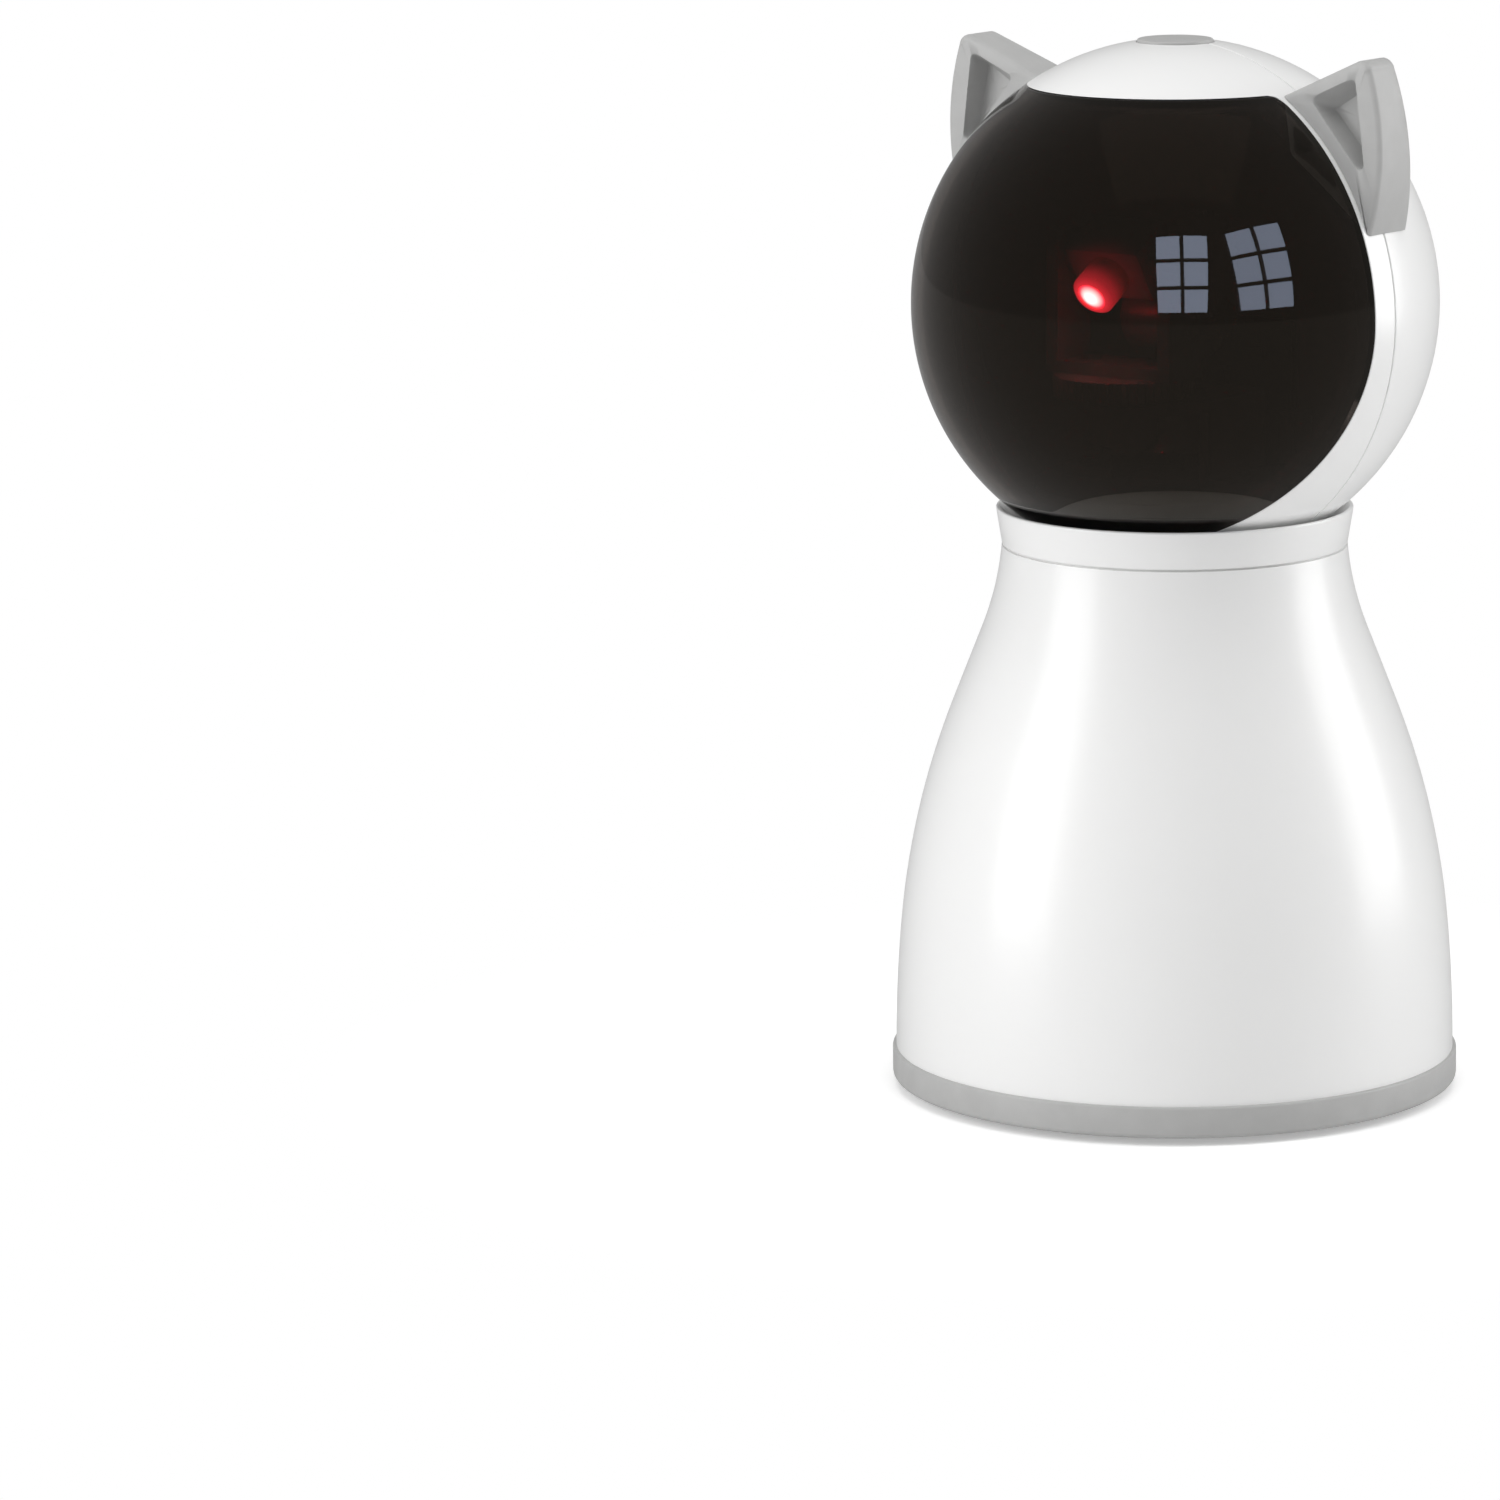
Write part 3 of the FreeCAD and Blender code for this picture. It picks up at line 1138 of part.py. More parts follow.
def make_right_ear():
    body = new_body("ear_solid")
    apex = (S["ear_apex_across"], S["ear_apex_up"])
    inner = (S["ear_inner_across"], S["ear_inner_up"])
    lower = (S["ear_lower_across"], S["ear_lower_up"])
    outline = Drawing(body, "ear_outline", "XZ_Plane", lift=S["ear_front"]).loop(
        (apex[0], apex[1], S["ear_bulge"]),
        inner,
        (inner[0] * 0.8, lower[1]),
        lower)
    pad(body, outline, S["ear_front"] + S["ear_back"], reverse=True)
    lean = cosine(S["ear_lean"])
    reach = far * 2 - S["ear_lean_start"]
    back = Drawing(body, "ear_back", tilt=(Vector(0, 1, 0), -S["ear_tilt"]))
    back.loop((S["ear_lean_start"], S["ear_back"]),
              (far * 2, S["ear_back"] - reach * sine(S["ear_lean"]) / lean),
              (far * 2, S["ear_back"] + 5),
              (S["ear_lean_start"], S["ear_back"] + 5))
    pocket(body, back, both=True)
    front = -S["ear_front"].value

    def at_tip(edge):
        return edge.BoundBox.XLength < 0.6 and edge.BoundBox.ZMin > apex[1].value - 0.6

    def at_heel(edge):
        return (edge.BoundBox.XLength < 0.01 and edge.BoundBox.YLength > 1
                and edge.BoundBox.ZMax < lower[1].value + 0.01
                and edge.BoundBox.XMin > lower[0].value - 0.01)

    def at_front(edge):
        return (edge.BoundBox.YMax < front + 0.001
                and edge.BoundBox.XMax > inner[0].value + 0.1
                and (edge.BoundBox.ZMin > lower[1].value + 0.01
                     or edge.BoundBox.XMin > lower[0].value - 1.5))

    round_off(body, S["ear_tip_round"], at_tip)
    round_off(body, S["ear_heel_round"], at_heel)
    round_off(body, S["ear_edge_round"], at_front)
    draft, slope = S["pocket_draft"], S["pocket_slope"]
    opening = Drawing(body, "pocket_opening", "XZ_Plane", lift=S["ear_front"])
    opening.loop((S["pocket_top_across"], S["pocket_top_up"]),
                 (S["pocket_inner_across"], S["pocket_inner_up"]),
                 (S["pocket_low_across"], S["pocket_low_up"]))
    floor = Drawing(body, "pocket_floor", "XZ_Plane", lift=S["ear_front"] - S["pocket_depth"])
    floor.loop((S["pocket_top_across"] - draft, S["pocket_top_up"] - slope),
               (S["pocket_inner_across"] + slope, S["pocket_inner_up"] - slope),
               (S["pocket_low_across"], S["pocket_low_up"] + draft * 2))
    hollow = body.newObject("PartDesign::SubtractiveLoft", "ear_pocket")
    hollow.Profile = opening.sketch
    hollow.Sections = [floor.sketch]
    hollow.Ruled = True
    body.Tip = hollow
    seat = part_object("Sphere", "right_ear_seat", Radius=S["ball_radius"] + S["glue_gap"])
    pegs = ear_pegs("right_ear_pegs", 0, S["peg_start"], S["peg_end"], 90 - S["peg_tilt"])
    return place(fuse("right_ear", cut("ear_on_ball", body, seat), pegs), z=ball_centre)


def make_left_ear(right):
    mirror = doc.addObject("Part::Mirroring", "left_ear")
    mirror.Source = right
    mirror.Normal = Vector(1, 0, 0)
    return mirror


neck_screws_at = ring_points(neck_screw_circle, 3, 90.0)
frame_screws_at = [(across, depth)
                   for across in (S["frame_screw_across"], -S["frame_screw_across"])
                   for depth in (-S["frame_screw_front"], S["frame_screw_back"])]
frame_top = derive("frame_top", S["frame_height"] - deck_face)
frame_level = derive("frame_level", ball_centre + frame_top)
pan_distance = derive("pan_distance", (S["pinion_teeth"] + S["pan_teeth"]) * S["gear_module"] / 2
                      + S["gear_backlash"])
tilt_distance = derive("tilt_distance", (S["pinion_teeth"] + S["tilt_teeth"])
                       * S["gear_module"] / 2 + S["gear_backlash"])
pan_gear_top = derive("pan_gear_top", S["pan_gear_lift"] + S["pan_gear_width"])
tilt_up = derive("tilt_up", pan_gear_top + S["tilt_rise"])
tilt_level = derive("tilt_level", frame_level + tilt_up)
pan_motor_y = pan_distance - S["pan_forward"]
tilt_motor_at = (tilt_distance * cosine(S["tilt_pinion_drop"]),
                 tilt_up - tilt_distance * sine(S["tilt_pinion_drop"]))
bearing_outside = S["journal_radius"] + S["bearing_gap"] + S["bearing_wall"]
pinion_start = S["small_head_height"] + S["pinion_gap"]
half_tooth = as_size(180) / S["pinion_teeth"]
arm_outside = S["yoke_inner"] + S["yoke_wall"]
gear_end = arm_outside + S["gear_offset"] + S["tilt_gear_width"]


def make_head_chassis():
    body = new_body("head_chassis")
    drawing = Drawing(body, "chassis_profile", "XZ_Plane").loop(
        (S["neck_bore"], -neck_end),
        (S["neck_radius"], -neck_end),
        (S["neck_radius"], -hub_face),
        (S["shoulder_radius"], -hub_face),
        (S["shoulder_radius"], S["shoulder_height"] - hub_face),
        (S["neck_radius"], S["shoulder_height"] - hub_face),
        (S["neck_radius"], -deck_drop),
        (S["deck_radius"], -deck_drop),
        (S["deck_radius"], -deck_face),
        (S["neck_bore"], -deck_face))
    turn(body, drawing)
    outside = S["head_board_width"] / 2
    first = S["head_board_back"] - S["guide_wall"]
    depth = S["guide_wall"] * 2 + S["board_thickness"]
    for side_sign in (1, -1):
        guide = Drawing(body, "board_guide", lift=-deck_face)
        across = (outside + (S["guide_wall"] - S["guide_reach"]) / 2) * side_sign
        guide.rectangle(across, first + depth / 2, S["guide_wall"] + S["guide_reach"], depth)
        pad(body, guide, S["guide_height"])
    slot = Drawing(body, "board_slot", lift=-deck_face)
    slot.rectangle(0, S["head_board_back"] + S["board_thickness"] / 2,
                   S["head_board_width"] + S["guide_gap"] * 2,
                   S["board_thickness"] + S["guide_gap"] * 2)
    pocket(body, slot, S["guide_height"] + 1, reverse=True)
    below = Drawing(body, "deck_pilots_below", lift=-deck_drop)
    for x, y in pads_front + pads_rear:
        below.circle(x, y, small_pilot)
    pocket(body, below, S["deck_pilot_depth"], reverse=True)
    above = Drawing(body, "deck_pilots_above", lift=-deck_face)
    for x, y in frame_screws_at:
        above.circle(x, y, small_pilot)
    pocket(body, above, S["deck_pilot_depth"])
    end = Drawing(body, "neck_pilots", lift=-neck_end)
    for x, y in neck_screws_at:
        end.circle(x, y, small_pilot)
    pocket(body, end, S["neck_pilot_depth"], reverse=True)
    return place(body, z=ball_centre)


def make_friction_washer():
    body = new_body("friction_washer")
    face = ring(Drawing(body, "washer_ring", lift=-neck_end), S["neck_radius"] + S["seat_gap"],
                S["washer_radius"])
    pad(body, face, S["washer_thickness"])
    return place(body, z=ball_centre)


def make_neck_retainer():
    body = new_body("retainer_disc")
    disc = ring(Drawing(body, "retainer_ring", lift=stop_bottom), S["neck_bore"],
                S["retainer_radius"])
    pad(body, disc, S["retainer_thickness"])
    tab = Drawing(body, "retainer_tab", lift=stop_bottom)
    outer, inner = S["hub_radius"] + S["stop_reach"], S["washer_radius"] - 1
    tab.rectangle(0, -(outer + inner) / 2, S["stop_width"], outer - inner)
    pad(body, tab, S["retainer_thickness"])
    holes = Drawing(body, "retainer_holes", lift=-neck_end)
    for x, y in neck_screws_at:
        holes.circle(x, y, small_hole)
    pocket(body, holes)
    body.Label = "neck_retainer"
    return place(body, z=ball_centre)


def make_neck_plug():
    body = new_body("neck_plug")
    stem = Drawing(body, "neck_plug_stem", lift=-deck_face - S["neck_plug_length"])
    pad(body, stem.circle(0, 0, S["neck_bore"] - S["neck_plug_gap"]), S["neck_plug_length"])
    flange = Drawing(body, "neck_plug_rim", lift=-deck_face)
    pad(body, flange.circle(0, 0, S["neck_plug_flange"]), S["neck_plug_thickness"])
    return place(body, z=ball_centre)


head_lead_foot = derive("head_lead_foot", S["neck_plug_thickness"] - deck_face)
head_lead_level = derive("head_lead_level", head_lead_foot + S["head_lead_bend"])


def make_head_board():
    body = block("head_board", 0, S["head_board_back"] + S["board_thickness"] / 2, -deck_face,
                 S["head_board_width"], S["board_thickness"], S["head_board_height"])
    return place(body, z=ball_centre)


def make_head_board_components():
    body = new_body("head_board_components")
    front = -S["head_board_back"]
    for x, z, width, height in ((-7.5, 15.0, 6.0, 6.0), (6.0, 13.0, 4.0, 5.0), (8.0, 22.0, 3.0, 2.0),
                                (-2.0, 23.0, 4.0, 2.4), (0.5, 17.5, 2.0, 3.2)):
        chip = Drawing(body, "head_chip", "XZ_Plane", lift=front)
        pad(body, chip.rectangle(x, z - deck_face, width, height), S["chip_height"])
    socket = Drawing(body, "head_lead_plug", "XZ_Plane", lift=front)
    socket.rectangle(0, head_lead_level, S["plug_width"], S["plug_depth"])
    pad(body, socket, S["head_plug_depth"])
    return place(body, z=ball_centre)


def make_head_lead():
    """Lead from the neck plug to the head board, over one bend."""
    body = new_body("head_lead")
    start = S["head_lead_offset"]
    bend = S["head_lead_bend"]
    path = Drawing(body, "head_lead_path", "YZ_Plane").loop(
        (start, head_lead_foot),
        (start + bend, head_lead_level, -bend),
        (S["head_board_back"] - S["head_plug_depth"], head_lead_level), closed=False)
    section = Drawing(body, "head_lead_section", lift=head_lead_foot)
    section.circle(0, start, S["head_lead_radius"])
    return place(sweep(body, section, path, 2), z=ball_centre)


# Swing mechanism, drawn about the pan axis on top of the frame's platform.
motor_screws_at = [(S["motor_screw_offset"], pan_distance), (-S["motor_screw_offset"], pan_distance)]


def make_mechanism_frame():
    body = new_body("mechanism_frame")
    back, front = S["frame_back"] + S["pan_forward"], S["pan_forward"] - S["frame_front"]
    half, thick = S["frame_half_width"], S["frame_thickness"]
    plate = Drawing(body, "frame_platform", lift=-thick).loop(
        (half, front), (half, back), (-half, back), (-half, front),
        (-bearing_outside, 0), (bearing_outside, 0, bearing_outside))
    pad(body, plate, thick)
    boss = Drawing(body, "frame_bearing", lift=-S["bearing_length"])
    pad(body, boss.circle(0, 0, bearing_outside), S["bearing_length"])
    middle, depth = (front + back) / 2, back - front
    for side_sign in (1, -1):
        leg = Drawing(body, "frame_leg", lift=-S["frame_height"])
        leg.rectangle((half - thick / 2) * side_sign, middle, thick, depth)
        pad(body, leg, S["frame_height"] - thick / 2)
        sole = Drawing(body, "frame_sole", lift=-S["frame_height"])
        sole.rectangle((half + S["frame_foot"] / 2 - thick / 2) * side_sign, middle,
                       S["frame_foot"] + thick, depth)
        pad(body, sole, thick)
    bore = Drawing(body, "frame_bore").circle(0, 0, S["journal_radius"] + S["bearing_gap"])
    pocket(body, bore)
    holes = Drawing(body, "frame_motor_holes").circle(0, pan_distance, S["shaft_hole_radius"])
    for x, y in motor_screws_at:
        holes.circle(x, y, small_hole)
    pocket(body, holes)
    screw_holes = Drawing(body, "frame_screw_holes", lift=thick - S["frame_height"])
    for x, y in frame_screws_at:
        screw_holes.circle(x, y + S["pan_forward"], small_hole)
    pocket(body, screw_holes)
    return place(body, y=-S["pan_forward"], z=frame_level)


def motor_can(label, radius, length, offsets, plane, seat, middle, below):
    """Small motor: can with a stepped rear end, a hole for the shaft and two screw holes."""
    body = new_body(label)
    x, y = middle
    out = -length if below else as_size(0)
    can = Drawing(body, label + "_can", plane, lift=seat + out)
    pad(body, can.circle(x, y, radius), length)
    step = Drawing(body, label + "_shaft_hole", plane, lift=seat)
    pocket(body, step.circle(x, y, S["shaft_radius"] + S["bearing_gap"]), S["shaft_sink"] + 0.5)
    holes = Drawing(body, label + "_screw_holes", plane, lift=seat)
    for screw_x, screw_y in offsets:
        holes.circle(screw_x, screw_y, small_pilot)
    pocket(body, holes, S["motor_pilot_depth"])
    return body


def make_pan_motor():
    body = motor_can("pan_motor", S["pan_motor_radius"], S["pan_motor_length"], motor_screws_at,
                     "XY_Plane", -S["frame_thickness"], (0, pan_distance), True)
    return place(body, y=-S["pan_forward"], z=frame_level)


def make_shaft(label, plane, x, y, seat, end, wall):
    body = new_body(label)
    shaft = Drawing(body, label + "_bar", plane, lift=seat - wall - S["shaft_sink"])
    pad(body, shaft.circle(x, y, S["shaft_radius"]), end - seat + wall + S["shaft_sink"])
    return body


def make_pan_motor_shaft():
    body = make_shaft("pan_motor_shaft", "XY_Plane", 0, 0, as_size(0), pan_gear_top,
                      S["frame_thickness"])
    return place(body, y=pan_motor_y, z=frame_level)


def gear_blank(name, teeth, width):
    """Solid gear about Z with its lower face at zero."""
    wire = fcgear.FCWireBuilder()
    involute.CreateExternalGear(wire, S["gear_module"].value, int(teeth.value),
                                S["pressure_angle"].value, True)
    outline = Part.Wire([edge.toShape() for edge in wire.wire])
    blank = doc.addObject("Part::Feature", name)
    blank.Shape = Part.Face(outline).extrude(Vector(0, 0, width.value))
    return blank


def make_pan_pinion():
    blank = gear_blank("pan_pinion_teeth", S["pinion_teeth"], pan_gear_top - pinion_start)
    bore = part_object("Cylinder", "pan_pinion_bore", Radius=S["shaft_radius"] + S["fit_gap"],
                       Height=pan_gear_top)
    result = cut("pan_pinion", blank, bore)
    return place(result, y=pan_motor_y, z=frame_level + pinion_start, axis=Vector(0, 0, 1),
                 angle=half_tooth - 90)


def make_pan_gear():
    teeth = gear_blank("pan_gear_teeth", S["pan_teeth"], S["pan_gear_width"])
    bind(teeth, "Placement.Base.z", S["pan_gear_lift"])
    place(teeth, axis=Vector(0, 0, 1), angle=as_size(90))
    hub = new_body("pan_gear_hub")
    clip_top = -S["bearing_length"] - S["clip_gap"]
    clip_low = clip_top - S["clip_thickness"] - S["fit_gap"] * 2
    journal_low = clip_low - S["journal_end"]
    neck = S["journal_radius"] - S["clip_groove"]
    drawing = Drawing(hub, "pan_hub_profile", "XZ_Plane").loop(
        (0, journal_low),
        (S["journal_radius"], journal_low),
        (S["journal_radius"], clip_low),
        (neck, clip_low),
        (neck, clip_top),
        (S["journal_radius"], clip_top),
        (S["journal_radius"], 0),
        (S["pan_hub_radius"], 0),
        (S["pan_hub_radius"], pan_gear_top),
        (0, pan_gear_top))
    turn(hub, drawing)
    bore = part_object("Cylinder", "pan_gear_bore", Radius=S["journal_bore"], Height=far)
    bind(bore, "Placement.Base.z", -far / 2)
    pilots = pillars("pan_gear_pilots", yoke_screws_at, small_pilot, S["pan_gear_lift"] + 0.6,
                     S["pan_gear_width"])
    result = cut("pan_gear", fuse("pan_gear_whole", teeth, hub),
                 fuse("pan_gear_cuts", bore, pilots))
    return place(result, y=-S["pan_forward"], z=frame_level)


yoke_screws_at = [(S["yoke_screw_offset"], 0), (-S["yoke_screw_offset"], 0)]


def make_pan_clip():
    body = new_body("pan_clip")
    level = -S["bearing_length"] - S["clip_gap"] - S["clip_thickness"] - S["fit_gap"]
    neck = S["journal_radius"] - S["clip_groove"] + S["fit_gap"]
    ring_face = ring(Drawing(body, "clip_ring", lift=level), neck, S["clip_radius"])
    pad(body, ring_face, S["clip_thickness"])
    mouth = Drawing(body, "clip_mouth", lift=level)
    mouth.rectangle(0, -S["clip_radius"], neck, S["clip_radius"] * 2)
    pocket(body, mouth, S["clip_thickness"], reverse=True)
    return place(body, y=-S["pan_forward"], z=frame_level)


def make_pan_yoke():
    body = new_body("pan_yoke")
    half = S["yoke_depth"] / 2
    base = Drawing(body, "yoke_base", lift=pan_gear_top)
    pad(body, base.rectangle(0, 0, arm_outside * 2, S["yoke_depth"]), S["yoke_base"])
    rim = S["pivot_radius"] + S["bearing_gap"] + S["pivot_wall"]
    for start in (S["yoke_inner"], -arm_outside):
        arm = Drawing(body, "yoke_arm", "YZ_Plane", lift=start).loop(
            (-half, pan_gear_top),
            (half, pan_gear_top),
            (half, pan_gear_top + S["yoke_base"]),
            (rim, tilt_up),
            (-rim, tilt_up, rim),
            (-half, pan_gear_top + S["yoke_base"]))
        pad(body, arm, S["yoke_wall"])
    carrier = Drawing(body, "yoke_motor_plate", "YZ_Plane", lift=S["yoke_inner"])
    motor_y, motor_z = tilt_motor_at
    plate = S["tilt_motor_radius"] + S["motor_rim"]
    carrier.loop((0, motor_z - plate), (motor_y, motor_z - plate), (motor_y, motor_z + plate, plate),
                 (0, motor_z + plate))
    pad(body, carrier, S["yoke_wall"])
    pivots = Drawing(body, "yoke_pivot_holes", "YZ_Plane")
    pocket(body, pivots.circle(0, tilt_up, S["pivot_radius"] + S["bearing_gap"]), both=True)
    holes = Drawing(body, "yoke_motor_holes", "YZ_Plane", lift=arm_outside)
    holes.circle(motor_y, motor_z, S["shaft_hole_radius"])
    for y, z in tilt_screws_at:
        holes.circle(y, z, small_hole)
    pocket(body, holes, S["yoke_wall"])
    screw_holes = Drawing(body, "yoke_screw_holes", lift=pan_gear_top + S["yoke_base"])
    for x, y in yoke_screws_at:
        screw_holes.circle(x, y, small_hole)
    pocket(body, screw_holes, S["yoke_base"])
    return place(body, y=-S["pan_forward"], z=frame_level)


tilt_screw_turn = 90 - S["tilt_pinion_drop"]
tilt_screws_at = [(tilt_motor_at[0] + S["tilt_screw_offset"] * cosine(tilt_screw_turn),
                   tilt_motor_at[1] + S["tilt_screw_offset"] * sine(tilt_screw_turn)),
                  (tilt_motor_at[0] - S["tilt_screw_offset"] * cosine(tilt_screw_turn),
                   tilt_motor_at[1] - S["tilt_screw_offset"] * sine(tilt_screw_turn))]


def make_tilt_motor():
    body = motor_can("tilt_motor", S["tilt_motor_radius"], S["tilt_motor_length"], tilt_screws_at,
                     "YZ_Plane", S["yoke_inner"], tilt_motor_at, True)
    return place(body, y=-S["pan_forward"], z=frame_level)


def make_tilt_motor_shaft():
    body = make_shaft("tilt_motor_shaft", "YZ_Plane", 0, 0, arm_outside, gear_end, S["yoke_wall"])
    return place(body, y=tilt_motor_at[0] - S["pan_forward"], z=frame_level + tilt_motor_at[1])


def side_gear(name, teeth, start, bore_radius, turned):
    """Gear about X from start to the gears' outer end, one tooth turned from +Y towards +Z."""
    blank = gear_blank(name + "_teeth", teeth, gear_end - start)
    place(blank, z=start, axis=Vector(0, 0, 1), angle=turned)
    bore = part_object("Cylinder", name + "_bore", Radius=bore_radius, Height=far)
    return blank, bore


def lay_on_side(thing, y, z):
    thing.Placement = Placement(Vector(), Rotation(Vector(1, 1, 1), 120))
    return place(thing, y=y, z=z)


def make_tilt_pinion():
    blank, bore = side_gear("tilt_pinion", S["pinion_teeth"], arm_outside + pinion_start,
                            S["shaft_radius"] + S["fit_gap"],
                            180 + half_tooth - S["tilt_pinion_drop"])
    return lay_on_side(cut("tilt_pinion", blank, bore), tilt_motor_at[0] - S["pan_forward"],
                       frame_level + tilt_motor_at[1])


def make_tilt_gear():
    start = arm_outside + S["gear_offset"]
    blank, bore = side_gear("tilt_gear", S["tilt_teeth"], start,
                            S["pivot_radius"] + S["fit_gap"], -S["tilt_pinion_drop"])
    hub = pillars("tilt_gear_hub", [(0, 0)], S["pivot_radius"] + S["pivot_wall"] / 2,
                  arm_outside + S["cradle_side_gap"], S["gear_offset"])
    return lay_on_side(cut("tilt_gear", fuse("tilt_gear_whole", blank, hub), bore),
                       -S["pan_forward"], tilt_level)


def place_on_tilt(body):
    """Set a sub-part on the tilt axis, nose down by the laser's drop."""
    return place(body, y=-S["pan_forward"], z=tilt_level, axis=Vector(1, 0, 0),
                 angle=S["laser_drop"])


def make_laser_cradle():
    body = new_body("laser_cradle")
    half = S["cradle_half_width"]
    side_end = S["yoke_inner"] - S["cradle_side_gap"]
    middle = Drawing(body, "cradle_block", "YZ_Plane", lift=-half)
    pad(body, middle.rectangle(0, 0, S["cradle_block"], S["cradle_block"]), half * 2)
    bosses = Drawing(body, "cradle_bosses", "YZ_Plane", lift=-side_end)
    pad(body, bosses.circle(0, 0, S["cradle_boss_radius"]), side_end * 2)
    bore = Drawing(body, "cradle_laser_bore", "XZ_Plane")
    pocket(body, bore.circle(0, 0, S["laser_radius"] + S["fit_gap"]), both=True)
    pins = Drawing(body, "cradle_pin_bores", "YZ_Plane")
    pocket(body, pins.circle(0, 0, S["pivot_radius"] + S["fit_gap"]), both=True)
    return place_on_tilt(body)


def make_tilt_pins():
    body = new_body("tilt_pins")
    inner = S["yoke_inner"] - S["cradle_side_gap"] - S["pivot_sink"]
    right = Drawing(body, "right_pin", "YZ_Plane", lift=inner)
    pad(body, right.circle(0, 0, S["pivot_radius"]), gear_end - inner)
    left = Drawing(body, "left_pin", "YZ_Plane", lift=-arm_outside)
    pad(body, left.circle(0, 0, S["pivot_radius"]), arm_outside - inner)
    return place_on_tilt(body)


def make_laser_module():
    body = new_body("laser_module")
    radius, chamfer, seat = S["laser_radius"], S["laser_chamfer"], S["lens_radius"] + S["fit_gap"]
    front, back = -S["laser_front"], S["laser_back"]
    drawing = Drawing(body, "laser_profile").loop(
        (0, back),
        (0, front + S["lens_sink"]),
        (seat, front + S["lens_sink"]),
        (seat, front),
        (radius - chamfer, front),
        (radius, front + chamfer),
        (radius, back))
    turn(body, drawing)
    return place_on_tilt(body)


def make_laser_lens():
    body = new_body("laser_lens")
    rear = S["lens_sink"] - S["laser_front"]
    front, tip = rear - S["lens_edge"], rear - S["lens_edge"] - S["lens_crown"]
    square = S["lens_radius"] * S["lens_radius"] + S["lens_crown"] * S["lens_crown"]
    bulge = square / (S["lens_crown"] * 2)
    drawing = Drawing(body, "lens_profile").loop(
        (0, rear), (0, tip), (S["lens_radius"], front, bulge), (S["lens_radius"], rear))
    turn(body, drawing)
    return place_on_tilt(body)


# Button and its switch, drawn about the middle of the ball.
def make_power_button():
    body = new_body("power_button")
    bottom = flange_top - S["flange_thickness"]
    top, radius = S["ball_radius"], S["button_radius"]
    drawing = Drawing(body, "button_profile", "XZ_Plane").loop(
        (0, stem_end),
        (S["stem_radius"], stem_end),
        (S["stem_radius"], bottom),
        (S["flange_radius"], bottom),
        (S["flange_radius"], flange_top),
        (radius, flange_top),
        (radius, top - S["button_round"]),
        (radius - S["button_round"], top, S["button_round"]),
        (0, top))
    turn(body, drawing)
    return place(body, z=ball_centre)


def make_button_board():
    width, front, back = S["button_board_width"], S["button_board_front"], S["button_board_back"]
    body = block("button_board", 0, (back - front) / 2, button_board_top -
                 S["button_board_thickness"], width, front + back, S["button_board_thickness"])
    holes = Drawing(body, "button_board_holes", lift=button_board_top)
    for x, y in bosses_at:
        holes.circle(x, y, small_hole)
    pocket(body, holes)
    return place(body, z=ball_centre)


def make_tact_switch():
    body = block("tact_switch", 0, 0, button_board_top, S["switch_width"], S["switch_width"],
                 S["switch_height"])
    well = Drawing(body, "switch_well", lift=switch_top)
    well.circle(0, 0, S["plunger_radius"] + S["bearing_gap"])
    pocket(body, well, S["plunger_in"] + S["button_travel"] + S["seat_gap"])
    return place(body, z=ball_centre)


def make_switch_plunger():
    body = pillars("switch_plunger", [(0, 0)], S["plunger_radius"], switch_top - S["plunger_in"],
                   S["plunger_in"] + S["plunger_out"])
    return place(body, z=ball_centre)


def make_screws():
    """All screws, one sub-part for each kind and place."""
    large = (S["screw_head_radius"], S["screw_head_height"], S["screw_radius"])
    small = (S["small_head_radius"], S["small_head_height"], S["small_screw_radius"])
    head_seat = -pad_seat
    thick = S["frame_thickness"]
    return [
        screws("base_screws", cover_screws, *large, S["screw_length"],
               seat=S["foot_drop"] + S["screw_head_height"], up=False),
        screws("cradle_screws", cradle_screws_at, *small, S["cradle_screw_length"] -
               S["cradle_floor"], seat=cover_top + S["cradle_floor"]),
        screws("board_screws", board_screws_at, *small, S["board_screw_length"], seat=board_top),
        screws("collar_screws", collar_screws_at, *small, S["collar_screw_length"],
               seat=shelf_bottom, up=False),
        place(screws("shell_screws", pads_front + pads_rear, *small,
                     pad_seat - deck_drop + S["shell_screw_bite"], seat=head_seat, up=False),
              z=ball_centre),
        place(screws("retainer_screws", neck_screws_at, *small, S["retainer_screw_length"],
                     seat=stop_bottom, up=False), z=ball_centre),
        place(screws("frame_screws", frame_screws_at, *small, S["frame_screw_length"],
                     seat=thick - deck_face), z=ball_centre),
        place(screws("button_board_screws", bosses_at, *small, S["boss_screw_length"],
                     seat=button_board_top - S["button_board_thickness"], up=False),
              z=ball_centre),
        place(screws("pan_motor_screws", motor_screws_at, *small, S["motor_screw_length"]),
              y=-S["pan_forward"], z=frame_level),
        place(screws("yoke_screws", yoke_screws_at, *small, S["yoke_screw_length"],
                     seat=pan_gear_top + S["yoke_base"]), y=-S["pan_forward"], z=frame_level),
        place(screws("tilt_motor_screws", tilt_screws_at, *small, S["motor_screw_length"],
                     plane="YZ_Plane", seat=arm_outside), y=-S["pan_forward"], z=frame_level),
    ]


